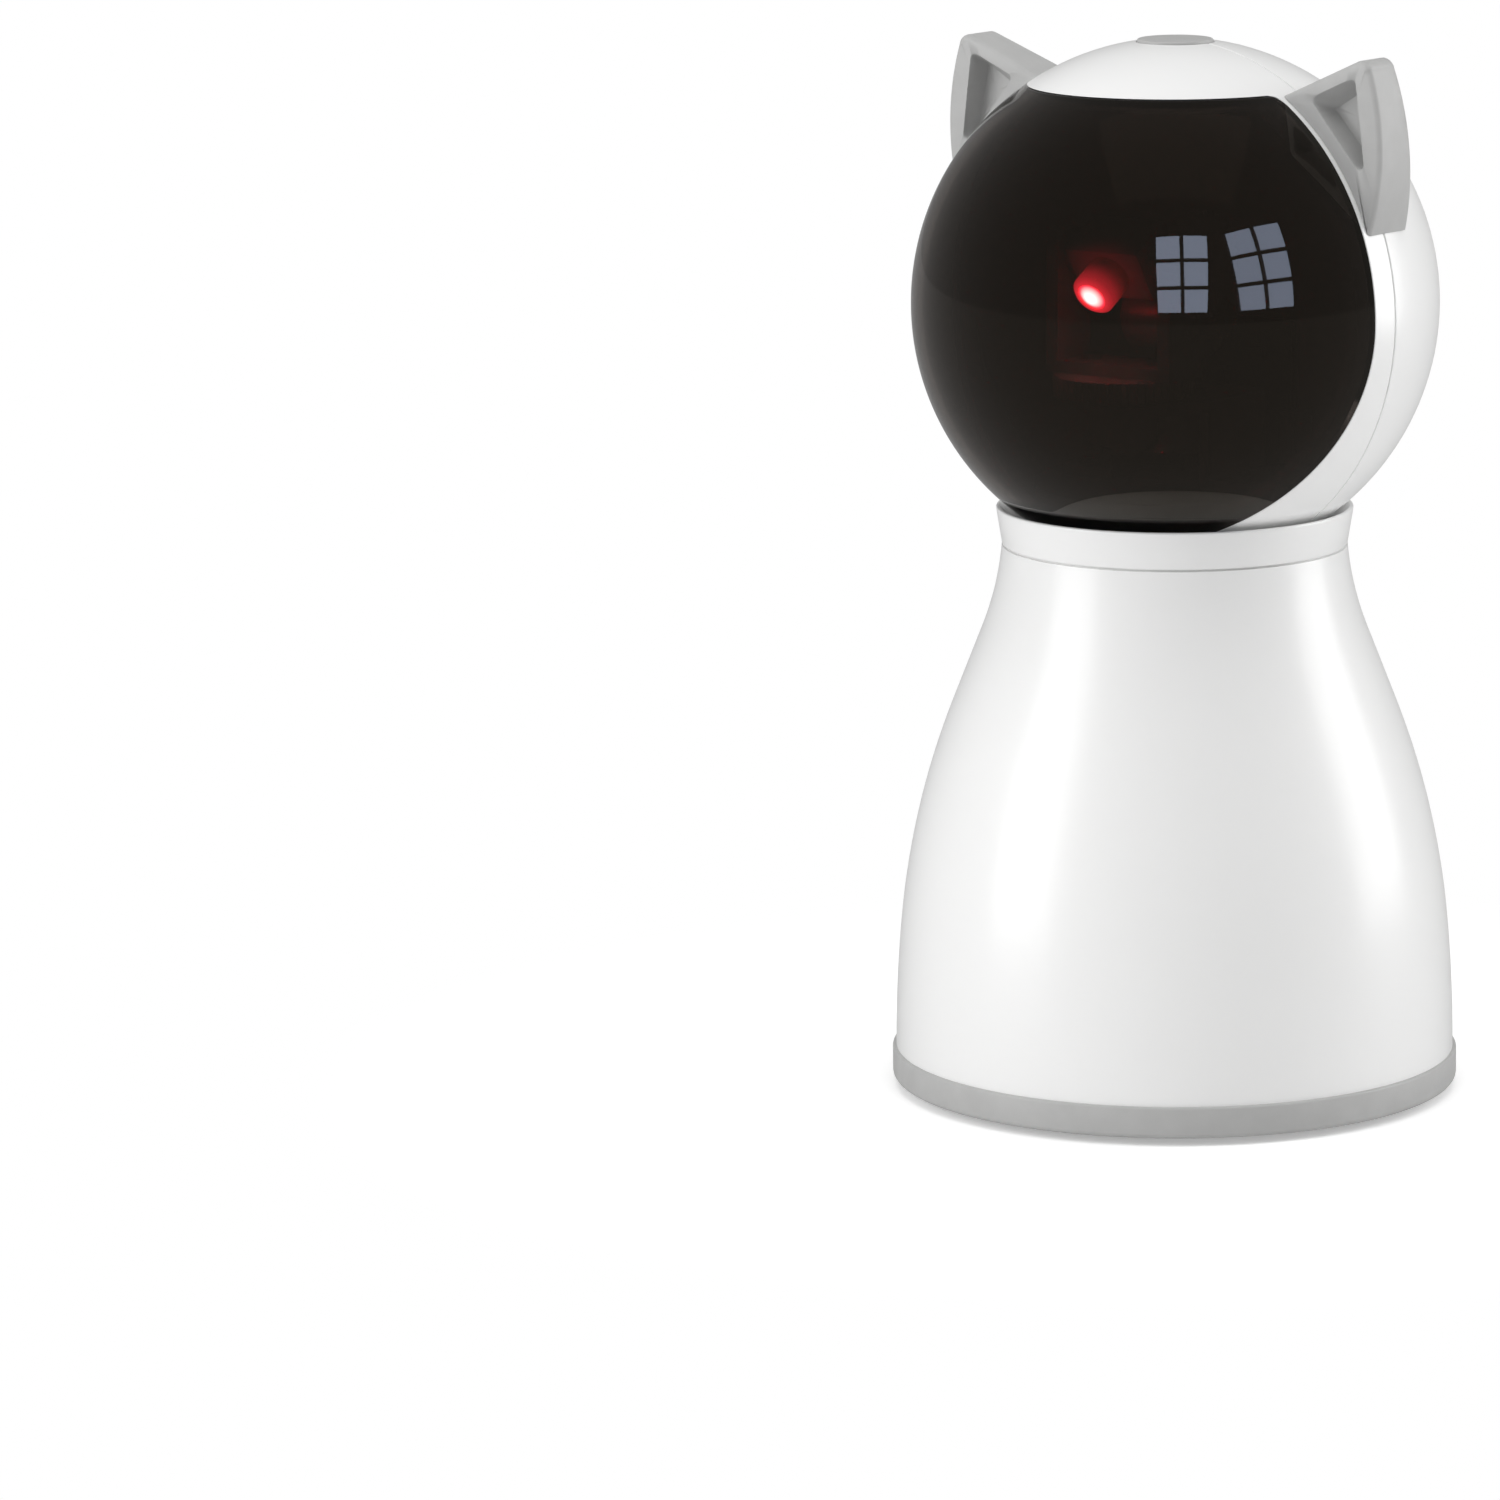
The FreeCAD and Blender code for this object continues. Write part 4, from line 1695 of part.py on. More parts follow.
right_ear = make_right_ear()
sub_parts = [
    make_base_ring(), make_bottom_cover(), make_rubber_feet(), make_body_shell(), make_collar(),
    make_battery_cell(), make_battery_cradle(), make_main_board(), make_board_components(),
    make_charge_socket(), make_board_plug(), make_neck_cable(), make_head_front_shell(),
    make_head_rear_shell(), make_visor(), right_ear, make_left_ear(right_ear),
    make_head_chassis(), make_friction_washer(), make_neck_retainer(), make_neck_plug(),
    make_head_board(), make_head_board_components(), make_head_lead(), make_mechanism_frame(),
    make_pan_motor(), make_pan_motor_shaft(), make_pan_pinion(), make_pan_gear(),
    make_pan_clip(), make_pan_yoke(), make_tilt_motor(), make_tilt_motor_shaft(),
    make_tilt_pinion(), make_tilt_gear(), make_laser_cradle(), make_tilt_pins(),
    make_laser_module(), make_laser_lens(), make_power_button(), make_button_board(),
    make_tact_switch(), make_switch_plunger(), *make_screws(),
]
doc.recompute()

for thing in doc.Objects:
    if "Invalid" in thing.State or "Error" in thing.State:
        raise RuntimeError(f"{thing.Name} is not up to date: {thing.State}")
os.makedirs("parts", exist_ok=True)
for thing in sub_parts:
    if thing.Shape.isNull() or not thing.Shape.isValid():
        raise RuntimeError(f"{thing.Label} has no valid shape")
    thing.Shape.exportStep(f"parts/{thing.Label}.step")
    print(f"{thing.Label}: {len(thing.Shape.Solids)} solid(s), volume {thing.Shape.Volume:.1f}")
print(f"neck lead: diameter {S['lead_radius'].value * 2}, smallest bend {lead_start.value:.2f}")
print(f"head lead: diameter {S['head_lead_radius'].value * 2}, "
      f"bend {S['head_lead_bend'].value:.2f}")
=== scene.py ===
import math

import bmesh
import bpy
import numpy as np
from bpy.props import FloatProperty, FloatVectorProperty, PointerProperty
from mathutils import Matrix, Vector


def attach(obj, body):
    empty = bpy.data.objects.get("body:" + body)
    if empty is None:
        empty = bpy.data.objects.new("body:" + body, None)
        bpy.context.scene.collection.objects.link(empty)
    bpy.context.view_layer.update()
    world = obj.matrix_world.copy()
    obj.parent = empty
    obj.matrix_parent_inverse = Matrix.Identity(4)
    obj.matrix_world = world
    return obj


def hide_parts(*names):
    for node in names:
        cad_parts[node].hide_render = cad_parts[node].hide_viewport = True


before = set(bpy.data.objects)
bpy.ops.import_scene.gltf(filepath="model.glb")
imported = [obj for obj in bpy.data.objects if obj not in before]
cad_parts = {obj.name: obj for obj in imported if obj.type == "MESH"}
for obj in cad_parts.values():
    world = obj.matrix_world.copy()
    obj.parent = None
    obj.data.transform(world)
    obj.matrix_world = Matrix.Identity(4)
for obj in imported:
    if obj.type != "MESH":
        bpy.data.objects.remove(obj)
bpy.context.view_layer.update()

bl_info = {
    "name": "Automatic Cat Laser Toy",
    "version": (1, 0, 0),
    "blender": (4, 5, 0),
    "location": "View3D > Sidebar > Laser Toy",
    "description": "Dresses the packed frame of a cat laser toy with surfaces and finishes",
    "category": "Object",
}

MM = 0.001


# Sizes in millimetres that the shapes below share with the frame.
HEAD_MIDDLE = 142.09107
BALL = 47.0
WALL = 2.2
VISOR_WALL = 2.0
HALF_JOINT = 0.15
NECK_HOLE = 12.1
BUTTON_HOLE = 6.95
VISOR_TOP = 38.95
VISOR_EDGE = 5.7
VISOR_SWEEP = 58.0
VISOR_CORNER = 1.8
LASER_AXIS = (0.0, -15.6, 151.741)
LASER_DROP = math.radians(32.0)
LENS_REACH = 11.8
STOP_TURNS = (math.radians(13.46), math.radians(166.54))
FOOT, HIP, WAIST, SHOULDER = (50.35, 7.0), (49.15, 31.4), (39.85, 70.0), (30.95, 98.6)
FLANK_RISE = 13.55
SHELF_OPENING = 25.0
FOOT_CIRCLE = 37
POST_RADIUS = 3.2
BASE_POST_PLACE, BASE_POST_SPAN, POST_BORE = 28.99, (4.0, 46.0), 0.9
HEAD_POST_PLACE, HEAD_POST_SPAN = 14, (-41.5, -34.5)
# Lower edge, upper edge and half width of the charging window, and of the boss behind it.
WINDOW, BOSS = (11.75, 18.65, 6.2), (10.2, 20.2, 8.0)
SLOT_HEIGHT, SLOT_HALF, SLOT_END = 15.2, 2.87, 1.78
LEDGE_RADII = (44.95, 43.2)
# First row, last row and last column of the window in a skin's grid.
WINDOW_CELLS = (3, 9, 8)
# Further forward than any point of the ball, so that a patch ends at the front.
PAST_FRONT = 99.0


def on_beam(distance):
    """Point of the laser's axis at a distance in front of the tilt axis, in metres."""
    x, y, z = LASER_AXIS
    return (x * MM, (y - distance * math.cos(LASER_DROP)) * MM,
            (z - distance * math.sin(LASER_DROP)) * MM)


LENS_TIP = on_beam(LENS_REACH)


# Finishes. Each one reads Object coordinates, in metres.

# Colour, roughness range, metal, clear coat, grain size (mm), grain depth (mm), colour spread.
FINISHES = {
    "white": ((0.93, 0.93, 0.925), (0.30, 0.34), 0.0, 0.55, 1.2, 0.0006, 0.0025),
    "grey": ((0.47, 0.47, 0.465), (0.40, 0.50), 0.0, 0.0, 0.35, 0.010, 0.030),
    "inner": ((0.62, 0.62, 0.60), (0.45, 0.60), 0.0, 0.0, 0.50, 0.010, 0.040),
    "rubber": ((0.030, 0.030, 0.031), (0.75, 0.90), 0.0, 0.0, 0.25, 0.020, 0.200),
    "felt": ((0.055, 0.055, 0.060), (0.90, 1.00), 0.0, 0.0, 0.15, 0.060, 0.350),
    "board": ((0.012, 0.110, 0.045), (0.30, 0.45), 0.0, 0.3, 0.90, 0.010, 0.180),
    "chip": ((0.018, 0.018, 0.020), (0.50, 0.65), 0.0, 0.0, 0.20, 0.008, 0.150),
    "cell": ((0.020, 0.075, 0.300), (0.22, 0.34), 0.0, 0.4, 1.50, 0.008, 0.060),
    "lead": ((0.020, 0.020, 0.021), (0.45, 0.55), 0.0, 0.0, 0.30, 0.012, 0.120),
    "steel": ((0.600, 0.600, 0.610), (0.28, 0.42), 1.0, 0.0, 0.10, 0.003, 0.060),
    "screw": ((0.420, 0.420, 0.440), (0.30, 0.45), 1.0, 0.0, 0.18, 0.006, 0.100),
    "brass": ((0.680, 0.440, 0.150), (0.25, 0.38), 1.0, 0.0, 0.10, 0.003, 0.060),
    "gear": ((0.780, 0.760, 0.680), (0.40, 0.52), 0.0, 0.0, 0.40, 0.006, 0.030),
}

# Finish under the red light, how far the light reaches (mm), and its strength at the lens.
LIT_BY_LENS = {"laser": ("brass", 9.0, 70.0), "cradle": ("inner", 14.0, 16.0)}
LENS_STRENGTH, LENS_REDDENS, LENS_CORE = 60.0, 3.8, (1.0, 0.62, 0.66)
COAT_ROUGHNESS = 0.22

CAD_FINISHES = {
    "inner": ("bottom_cover", "battery_cradle", "head_chassis", "mechanism_frame", "neck_plug",
              "neck_retainer", "pan_yoke"),
    "felt": ("friction_washer",),
    "board": ("main_board", "head_board", "button_board"),
    "chip": ("board_components", "head_board_components", "tact_switch", "switch_plunger",
             "board_plug"),
    "cell": ("battery_cell",),
    "lead": ("neck_cable", "head_lead"),
    "steel": ("charge_socket", "pan_motor", "tilt_motor", "pan_clip", "pan_motor_shaft",
              "tilt_motor_shaft", "tilt_pins"),
    "screw": ("base_screws", "cradle_screws", "board_screws", "collar_screws", "shell_screws",
              "retainer_screws", "frame_screws", "button_board_screws", "pan_motor_screws",
              "yoke_screws", "tilt_motor_screws"),
    "brass": ("pan_pinion", "tilt_pinion"),
    "gear": ("pan_gear", "tilt_gear"),
    "laser": ("laser_module",),
    "cradle": ("laser_cradle",),
}


class Tree:
    """Short way to add and join shader nodes."""

    def __init__(self, tree):
        self.tree = tree
        tree.nodes.clear()

    def add(self, kind, **values):
        node = self.tree.nodes.new(kind)
        for name, value in values.items():
            if name in node.inputs:
                node.inputs[name].default_value = value
            else:
                setattr(node, name, value)
        return node

    def link(self, source, target):
        self.tree.links.new(source, target)


def new_tree(owner):
    """Empty node tree of a material, lamp or world."""
    owner.use_nodes = True
    return Tree(owner.node_tree)


def math_node(tree, operation, first, second=None, clamp=False):
    node = tree.add("ShaderNodeMath", operation=operation, use_clamp=clamp)
    for index, value in enumerate((first, second)):
        if isinstance(value, (int, float)):
            node.inputs[index].default_value = value
        elif value is not None:
            tree.link(value, node.inputs[index])
    return node.outputs[0]


def grain(tree, size_mm, detail=3.0):
    """Noise over the piece, with features of about the given size."""
    place = tree.add("ShaderNodeTexCoord")
    noise = tree.add("ShaderNodeTexNoise", Scale=1.0 / (size_mm * MM), Detail=detail,
                     Roughness=0.55)
    tree.link(place.outputs["Object"], noise.inputs["Vector"])
    return noise


def shades(tree, factor, dark, light, ends=(0.3, 0.7)):
    """Colour between two shades by a factor."""
    ramp = tree.add("ShaderNodeValToRGB")
    for stop, place, shade in zip(ramp.color_ramp.elements, ends, (dark, light)):
        stop.position = place
        stop.color = (*shade, 1.0)
    tree.link(factor, ramp.inputs["Fac"])
    return ramp.outputs["Color"]


def spread(tree, factor, low, high):
    """Number between two limits by a factor."""
    node = tree.add("ShaderNodeMapRange", **{"To Min": low, "To Max": high})
    tree.link(factor, node.inputs["Value"])
    return node.outputs["Result"]


def relief(tree, shader, height, strength, depth_mm):
    """Bump on a shader from a height."""
    bump = tree.add("ShaderNodeBump", Strength=strength, Distance=depth_mm * MM)
    tree.link(height, bump.inputs["Height"])
    tree.link(bump.outputs["Normal"], shader.inputs["Normal"])


def plain_finish(tree, name, colour=None):
    """Moulded, rubbery or metal surface: shade, roughness and relief all follow fine grain."""
    own, rough, metal, coat, size, depth, vary = FINISHES[name]
    colour = own if colour is None else colour
    shader = tree.add("ShaderNodeBsdfPrincipled", Metallic=metal,
                      **{"Coat Weight": coat, "Coat Roughness": COAT_ROUGHNESS})
    fine = grain(tree, size)
    broad = grain(tree, size * 14.0, 2.0)
    dark = tuple(value * (1 - vary) for value in colour)
    light = tuple(min(value * (1 + vary), 1.0) for value in colour)
    tree.link(shades(tree, broad.outputs["Fac"], dark, light), shader.inputs["Base Color"])
    tree.link(spread(tree, fine.outputs["Fac"], *rough), shader.inputs["Roughness"])
    relief(tree, shader, fine.outputs["Fac"], 0.5, depth)
    return shader


def nearness(tree, centre, reach):
    """1 at a point of the piece, falling to 0 at a distance from it."""
    place = tree.add("ShaderNodeTexCoord")
    away = tree.add("ShaderNodeVectorMath", operation="DISTANCE")
    away.inputs[1].default_value = centre
    tree.link(place.outputs["Object"], away.inputs[0])
    share = math_node(tree, "DIVIDE", away.outputs["Value"], reach)
    return math_node(tree, "SUBTRACT", 1.0, share, clamp=True)


def glowing(tree, shader, centre, reach, strength, colour):
    """Red light scattered on what is close to the lens."""
    near = nearness(tree, centre, reach)
    power = math_node(tree, "MULTIPLY", math_node(tree, "POWER", near, 3.5), strength)
    shader.inputs["Emission Color"].default_value = (*colour, 1.0)
    tree.link(power, shader.inputs["Emission Strength"])


def visor_finish(tree, tint):
    """Smoked clear plastic with a polished face and a trace of moulding ripple."""
    shader = tree.add("ShaderNodeBsdfPrincipled", IOR=1.46, **{
        "Base Color": (*tint, 1.0), "Transmission Weight": 1.0, "Specular IOR Level": 0.45,
        "Specular Tint": (1.0, 0.86, 0.70, 1.0)})
    ripple = grain(tree, 9.0, 1.0)
    tree.link(spread(tree, ripple.outputs["Fac"], 0.0, 0.03), shader.inputs["Roughness"])
    relief(tree, shader, ripple.outputs["Fac"], 0.25, 0.004)
    return shader


def lens_finish(tree, colour):
    """Lens filled with red light, palest in the middle."""
    shader = tree.add("ShaderNodeBsdfPrincipled", Roughness=0.05,
                      **{"Emission Strength": LENS_STRENGTH})
    core = shades(tree, nearness(tree, LENS_TIP, LENS_REDDENS * MM), colour, LENS_CORE,
                  (0.35, 0.72))
    tree.link(core, shader.inputs["Base Color"])
    tree.link(core, shader.inputs["Emission Color"])
    return shader


def material(name):
    """The finish of that name, made the first time it is asked for."""
    if name in bpy.data.materials:
        return bpy.data.materials[name]
    made = bpy.data.materials.new(name)
    tree = new_tree(made)
    colours = bpy.context.scene.laser_toy_colours
    if name == "visor":
        shader = visor_finish(tree, colours.visor)
    elif name == "lens":
        shader = lens_finish(tree, colours.glow)
    elif name in LIT_BY_LENS:
        under, reach, strength = LIT_BY_LENS[name]
        shader = plain_finish(tree, under)
        glowing(tree, shader, LENS_TIP, reach * MM, strength, colours.glow)
    else:
        shader = plain_finish(tree, name, {"white": colours.shell, "grey": colours.trim}.get(name))
    out = tree.add("ShaderNodeOutputMaterial")
    tree.link(shader.outputs["BSDF"], out.inputs["Surface"])
    return made


# Mesh helpers. A sheet is a pair of arrays: points and faces.

def sheet(points, close_u=False, close_v=False):
    """Quads over a grid of points (u, v, 3), joined at its ends where asked."""
    rows, columns = points.shape[:2]
    u = np.arange(rows if close_u else rows - 1)
    v = np.arange(columns if close_v else columns - 1)
    a, b = np.meshgrid(u, v, indexing="ij")
    c, d = (a + 1) % rows, (b + 1) % columns
    faces = np.stack((a * columns + b, c * columns + b, c * columns + d, a * columns + d), -1)
    return points.reshape(-1, 3), faces.reshape(-1, 4)


def join(*sheets):
    points, faces, start = [], [], 0
    for verts, quads in sheets:
        points.append(verts)
        faces.append(quads + start)
        start += len(verts)
    return np.concatenate(points), np.concatenate(faces)


def placed(name, data):
    """New object in the scene."""
    thing = bpy.data.objects.new(name, data)
    bpy.context.scene.collection.objects.link(thing)
    return thing


def piece(name, sheets, body, nodes, finish, crease=32.0):
    """Object from sheets in millimetres: seams merged, faces outwards, creases kept sharp."""
    points, faces = join(*sheets)
    mesh = bpy.data.meshes.new(name)
    mesh.from_pydata((points * MM).tolist(), [], faces.tolist())
    work = bmesh.new()
    work.from_mesh(mesh)
    bmesh.ops.remove_doubles(work, verts=work.verts, dist=2e-6)
    bmesh.ops.dissolve_degenerate(work, edges=work.edges, dist=1e-7)
    bmesh.ops.recalc_face_normals(work, faces=work.faces)
    work.to_mesh(mesh)
    work.free()
    mesh.shade_smooth()
    mesh.set_sharp_from_angle(angle=math.radians(crease))
    thing = placed(name, mesh)
    mesh.materials.append(material(finish))
    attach(thing, body)
    if nodes:
        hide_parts(*nodes)
    return thing


def rounded(corners, steps=4):
    """Closed profile with each corner (x, y, radius) replaced by an arc that touches both sides."""
    points = []
    count = len(corners)
    for i, (x, y, radius) in enumerate(corners):
        here = np.array((x, y), float)
        if radius <= 0:
            points.append(here[None])
            continue
        back = np.array(corners[i - 1][:2], float) - here
        ahead = np.array(corners[(i + 1) % count][:2], float) - here
        back /= np.linalg.norm(back)
        ahead /= np.linalg.norm(ahead)
        half = math.acos(np.clip(back @ ahead, -1, 1)) / 2
        reach = radius / math.tan(half)
        middle = back + ahead
        middle = here + middle / np.linalg.norm(middle) * radius / math.sin(half)
        first, last = here + back * reach - middle, here + ahead * reach - middle
        t = np.linspace(0, 1, steps + 1)[:, None]
        swing = math.pi - 2 * half
        arc = (first * np.sin((1 - t) * swing) + last * np.sin(t * swing)) / math.sin(swing)
        points.append(middle + arc)
    return np.concatenate(points)


def turned(profile, sides=96, closed=True, middle=(0, 0, 0), axis="z"):
    """Profile (radius, height) carried round an axis: x = r cos a, y = r sin a, z = h."""
    angle = np.linspace(0, 2 * math.pi, sides, endpoint=False)
    radius, height = profile[:, :1], profile[:, 1:]
    ones = np.ones_like(angle)
    points = np.stack((radius * np.cos(angle), radius * np.sin(angle), height * ones), -1)
    if axis == "y":
        points = points[..., [0, 2, 1]]
    if axis == "x":
        points = points[..., [2, 0, 1]]
    return sheet(points + np.array(middle, float), close_u=closed, close_v=True)


def bar(x0, x1, y0, y1, z0, z1, turn=0.0):
    """Block between two corners, turned about the upright axis."""
    corner = np.array([[x0, y0], [x1, y0], [x1, y1], [x0, y1]], float)
    c, s = math.cos(turn), math.sin(turn)
    flat = corner @ np.array([[c, s], [-s, c]])
    centre = flat.mean(0)
    rings = [np.column_stack((ring, np.full(4, z)))
             for ring, z in ((np.tile(centre, (4, 1)), z0), (flat, z0), (flat, z1),
                             (np.tile(centre, (4, 1)), z1))]
    return sheet(np.stack(rings), close_v=True)


def post(x, y, radius, low, high, bore=0.0):
    """Upright rod with an optional blind bore from below."""
    if bore:
        profile = np.array([(0, high), (radius, high), (radius, low), (bore, low),
                            (bore, low + (high - low) * 0.7), (0, low + (high - low) * 0.7)])
    else:
        profile = np.array([(0, high), (radius, high), (radius, low), (0, low)])
    return turned(profile, 32, closed=False, middle=(x, y, 0))


# Outlines and limits that several pieces share.

def way(angle):
    """Unit steps in the directions of the angles."""
    return np.column_stack((np.cos(angle), np.sin(angle)))


def swept(start, heading, end, count):
    """Arc from start to end that leaves along heading, and its last heading."""
    start, heading, end = (np.array(value, float) for value in (start, heading, end))
    chord = end - start
    left = np.array((-heading[1], heading[0]))
    radius = chord @ chord / (2 * chord @ left)
    middle = start + left * radius
    a0, a1 = (math.atan2(*(point - middle)[::-1]) for point in (start, end))
    sign = 1 if radius > 0 else -1
    swing = (a1 - a0) * sign % (2 * math.pi) * sign
    angle = a0 + swing * np.linspace(0, 1, count)
    return middle + abs(radius) * way(angle), np.array((-math.sin(a1), math.cos(a1))) * sign


def body_outline():
    """Waisted outline from foot to top: bulging arc, wider arc, straight flank, hollow arc."""
    hip, at_hip = swept(FOOT, (0, 1), HIP, 22)
    flank, at_waist = swept(HIP, at_hip, WAIST, 32)
    neck = np.array(WAIST) + at_waist * FLANK_RISE / at_waist[1]
    throat, _ = swept(neck, at_waist, SHOULDER, 20)
    return np.concatenate((hip, flank[1:], throat))


def ring_at(radius, height):
    """Radius of the circle that a level plane cuts from a ball."""
    return np.sqrt(np.maximum(radius ** 2 - height ** 2, 0))


def visor_edge(height, grow=0.0):
    """Distance of the visor's edge in front of the joint line, at a height over the middle.

    Straight up the side, with a round upper corner, and swept forward below the middle.
    """
    height = np.asarray(height, float)
    sweep = VISOR_EDGE + VISOR_SWEEP - ring_at(VISOR_SWEEP + grow, np.minimum(height, 0))
    corner = VISOR_CORNER + grow * 0.5
    top = VISOR_TOP + grow
    rise = np.clip(height - (top - corner), 0, corner)
    round_off = corner - ring_at(corner, rise)
    return np.where(height > 0, VISOR_EDGE - grow + round_off, sweep)


def ball_rows(low, high, count, radius=BALL):
    """Heights spaced evenly by latitude, with both ends exact."""
    a0, a1 = (math.asin(np.clip(value / radius, -1, 1)) for value in (low, high))
    rows = radius * np.sin(np.linspace(a0, a1, count))
    rows[0], rows[-1] = low, high
    return rows


def by_rows(ring, angle, rows):
    """Grid of points, with the radius and height of each row and the angle of each point."""
    return np.stack((ring[:, None] * np.cos(angle), ring[:, None] * np.sin(angle),
                     np.repeat(rows[:, None], angle.shape[1], 1)), -1)


def ball_patch(radius, rows, near, far, columns):
    """Part of a ball between two limits in front of the joint line, from +X round to the front.

    Row by row the angle runs between the points that lie near and far in front of y = 0.
    """
    ring = ring_at(radius, rows)
    first = np.arcsin(np.clip(near(rows) / ring, -1, 1))
    last = np.arcsin(np.clip(far(rows) / ring, -1, 1))
    t = np.linspace(0, 1, columns)
    return by_rows(ring, -(first[:, None] + (last - first)[:, None] * t), rows)


def level_at(distance):
    """Limit of a patch that lies at one distance in front of the joint line in every row."""
    return lambda rows: np.full_like(rows, distance)


def thick(outer, inner):
    """Closed solid between two grids of the same size."""
    rims = [np.stack((outer[0], inner[0])), np.stack((outer[-1], inner[-1])),
            np.stack((outer[:, 0], inner[:, 0])), np.stack((outer[:, -1], inner[:, -1]))]
    return [sheet(outer), sheet(inner)] + [sheet(rim) for rim in rims]


def mirrored(grid):
    return grid * np.array((-1.0, 1.0, 1.0))


def up(sheets, height=HEAD_MIDDLE):
    return [(points + np.array((0, 0, height)), faces) for points, faces in sheets]


# Pieces. Lengths are in millimetres. Heights in the head are measured from its middle.

def make_base_ring():
    """Section (radius, height) turned: band with rounded edges, spigot and inner ledge."""
    section = rounded([
        (46.5, 1.3, 0), (51.0, 1.3, 1.0), (51.0, 7.0, 0.45), (47.95, 7.0, 0), (47.95, 9.5, 0.3),
        (45.95, 9.5, 0.3), (45.95, 5.6, 0), (44.6, 5.6, 0), (44.6, 4.0, 0), (46.5, 4.0, 0)])
    return piece("base_band", [turned(section, 192)], "base", ["base_ring"], "grey")


def make_feet():
    """Four discs turned from (radius, height), with a rounded tread and two shallow grooves."""
    section = rounded([
        (0, 0.25, 0), (1.8, 0.25, 0.1), (2.2, 0, 0.1), (3.4, 0, 0.1), (3.8, 0.25, 0.1),
        (4.1, 0, 0.1), (5.5, 0, 0.6), (5.5, 2.8, 0), (0, 2.8, 0)], 3)
    spots = [(FOOT_CIRCLE * math.cos(a), FOOT_CIRCLE * math.sin(a), 0)
             for a in np.arange(4) * math.pi / 2]
    feet = [turned(section, 48, closed=False, middle=spot) for spot in spots]
    return piece("foot_pads", feet, "base", ["rubber_feet"], "rubber")


def body_skin(inset, low, high, half, top):
    """Skin of the body, with the rows and columns of a window at the back.

    Radius follows the outline by height, less the inset. The window's columns stand at even
    steps of x = R sin a, with a from +Y, and the others share out the rest of the circle.
    """
    outline = body_outline()
    first, last, column = WINDOW_CELLS
    heights = np.concatenate((np.linspace(FOOT[1], low, first + 1),
                              np.linspace(low, high, last - first + 1)[1:],
                              np.linspace(high, top, 68)[1:]))
    radius = np.interp(heights, outline[:, 1], outline[:, 0]) - inset
    across = np.linspace(-half, half, column + 1)
    inner = np.arcsin(across / radius[:, None])
    share = np.linspace(0, 1, 152)[None, 1:-1]
    outer = inner[:, -1:] + (2 * math.pi - 2 * inner[:, -1:]) * share
    angle = np.concatenate((inner, outer), 1)
    ring = radius[:, None]
    return np.stack((ring * np.sin(angle), ring * np.cos(angle),
                     np.repeat(heights[:, None], angle.shape[1], 1)), -1)


def window_loop(grid):
    """Border of the window, in order round it."""
    first, last, column = WINDOW_CELLS
    return np.concatenate((grid[first, :column], grid[first:last, column],
                           grid[last, column:0:-1], grid[last:first:-1, 0]))


def without_window(grid):
    """Skin with the window's faces left out."""
    points, faces = sheet(grid, close_v=True)
    first, last, end = WINDOW_CELLS
    row, column = np.divmod(faces[:, 0], grid.shape[1])
    inside = (row >= first) & (row < last) & (column < end)
    return points, faces[~inside]


def at_depth(loop, y):
    """The same loop pressed flat at one depth."""
    moved = loop.copy()
    moved[:, 1] = y
    return moved


def at_radius(loop, radius):
    """The same ring drawn in to a radius, at its own height."""
    moved = loop.copy()
    moved[:, :2] *= (radius / np.linalg.norm(loop[:, :2], axis=1))[:, None]
    return moved


def slot_loop(around, y, grow=0.0):
    """Rounded slot 9.3 by 3.56, one point for each direction of the loop around it."""
    angle = np.arctan2(around[:, 2] - SLOT_HEIGHT, around[:, 0])
    half, end = SLOT_HALF, SLOT_END + grow
    c, s = np.cos(angle), np.sin(angle)
    flat = end / np.maximum(np.abs(s), 1e-6)
    bend = half * np.abs(c) + np.sqrt(np.maximum(end ** 2 - (half * s) ** 2, 0))
    reach = np.where(flat * np.abs(c) < half, flat, bend)
    return np.stack((reach * c, np.full_like(c, y), SLOT_HEIGHT + reach * s), -1)


def make_body_shell():
    """Waisted shell with its charging window, boss, top shelf and four screw posts."""
    outer = body_skin(0.0, *WINDOW, SHOULDER[1])
    inner = body_skin(WALL, *BOSS, SHOULDER[1] - WALL)
    frame_loop, boss_loop = window_loop(outer), window_loop(inner)
    mouth = slot_loop(frame_loop, 46.45)
    layers = [frame_loop, at_depth(frame_loop, 46.75), at_depth(frame_loop, 46.45) * [0.985, 1, 1],
              slot_loop(frame_loop, 46.45, 0.25), slot_loop(frame_loop, 46.2),
              at_depth(mouth, 44.85), at_depth(boss_loop, 44.85), boss_loop]
    shelf = [outer[-1], at_radius(outer[-1], SHELF_OPENING), at_radius(inner[-1], SHELF_OPENING),
             inner[-1]]
    sheets = [without_window(outer), without_window(inner),
              sheet(np.stack(layers), close_v=True),
              sheet(np.stack(shelf), close_v=True),
              sheet(np.stack((outer[0], inner[0])), close_v=True)]
    for x, y in ((1, 1), (-1, 1), (-1, -1), (1, -1)):
        sheets.append(post(BASE_POST_PLACE * x, BASE_POST_PLACE * y, POST_RADIUS,
                           *BASE_POST_SPAN, bore=POST_BORE))
    return piece("body_skin", sheets, "base", ["body_shell"], "white")


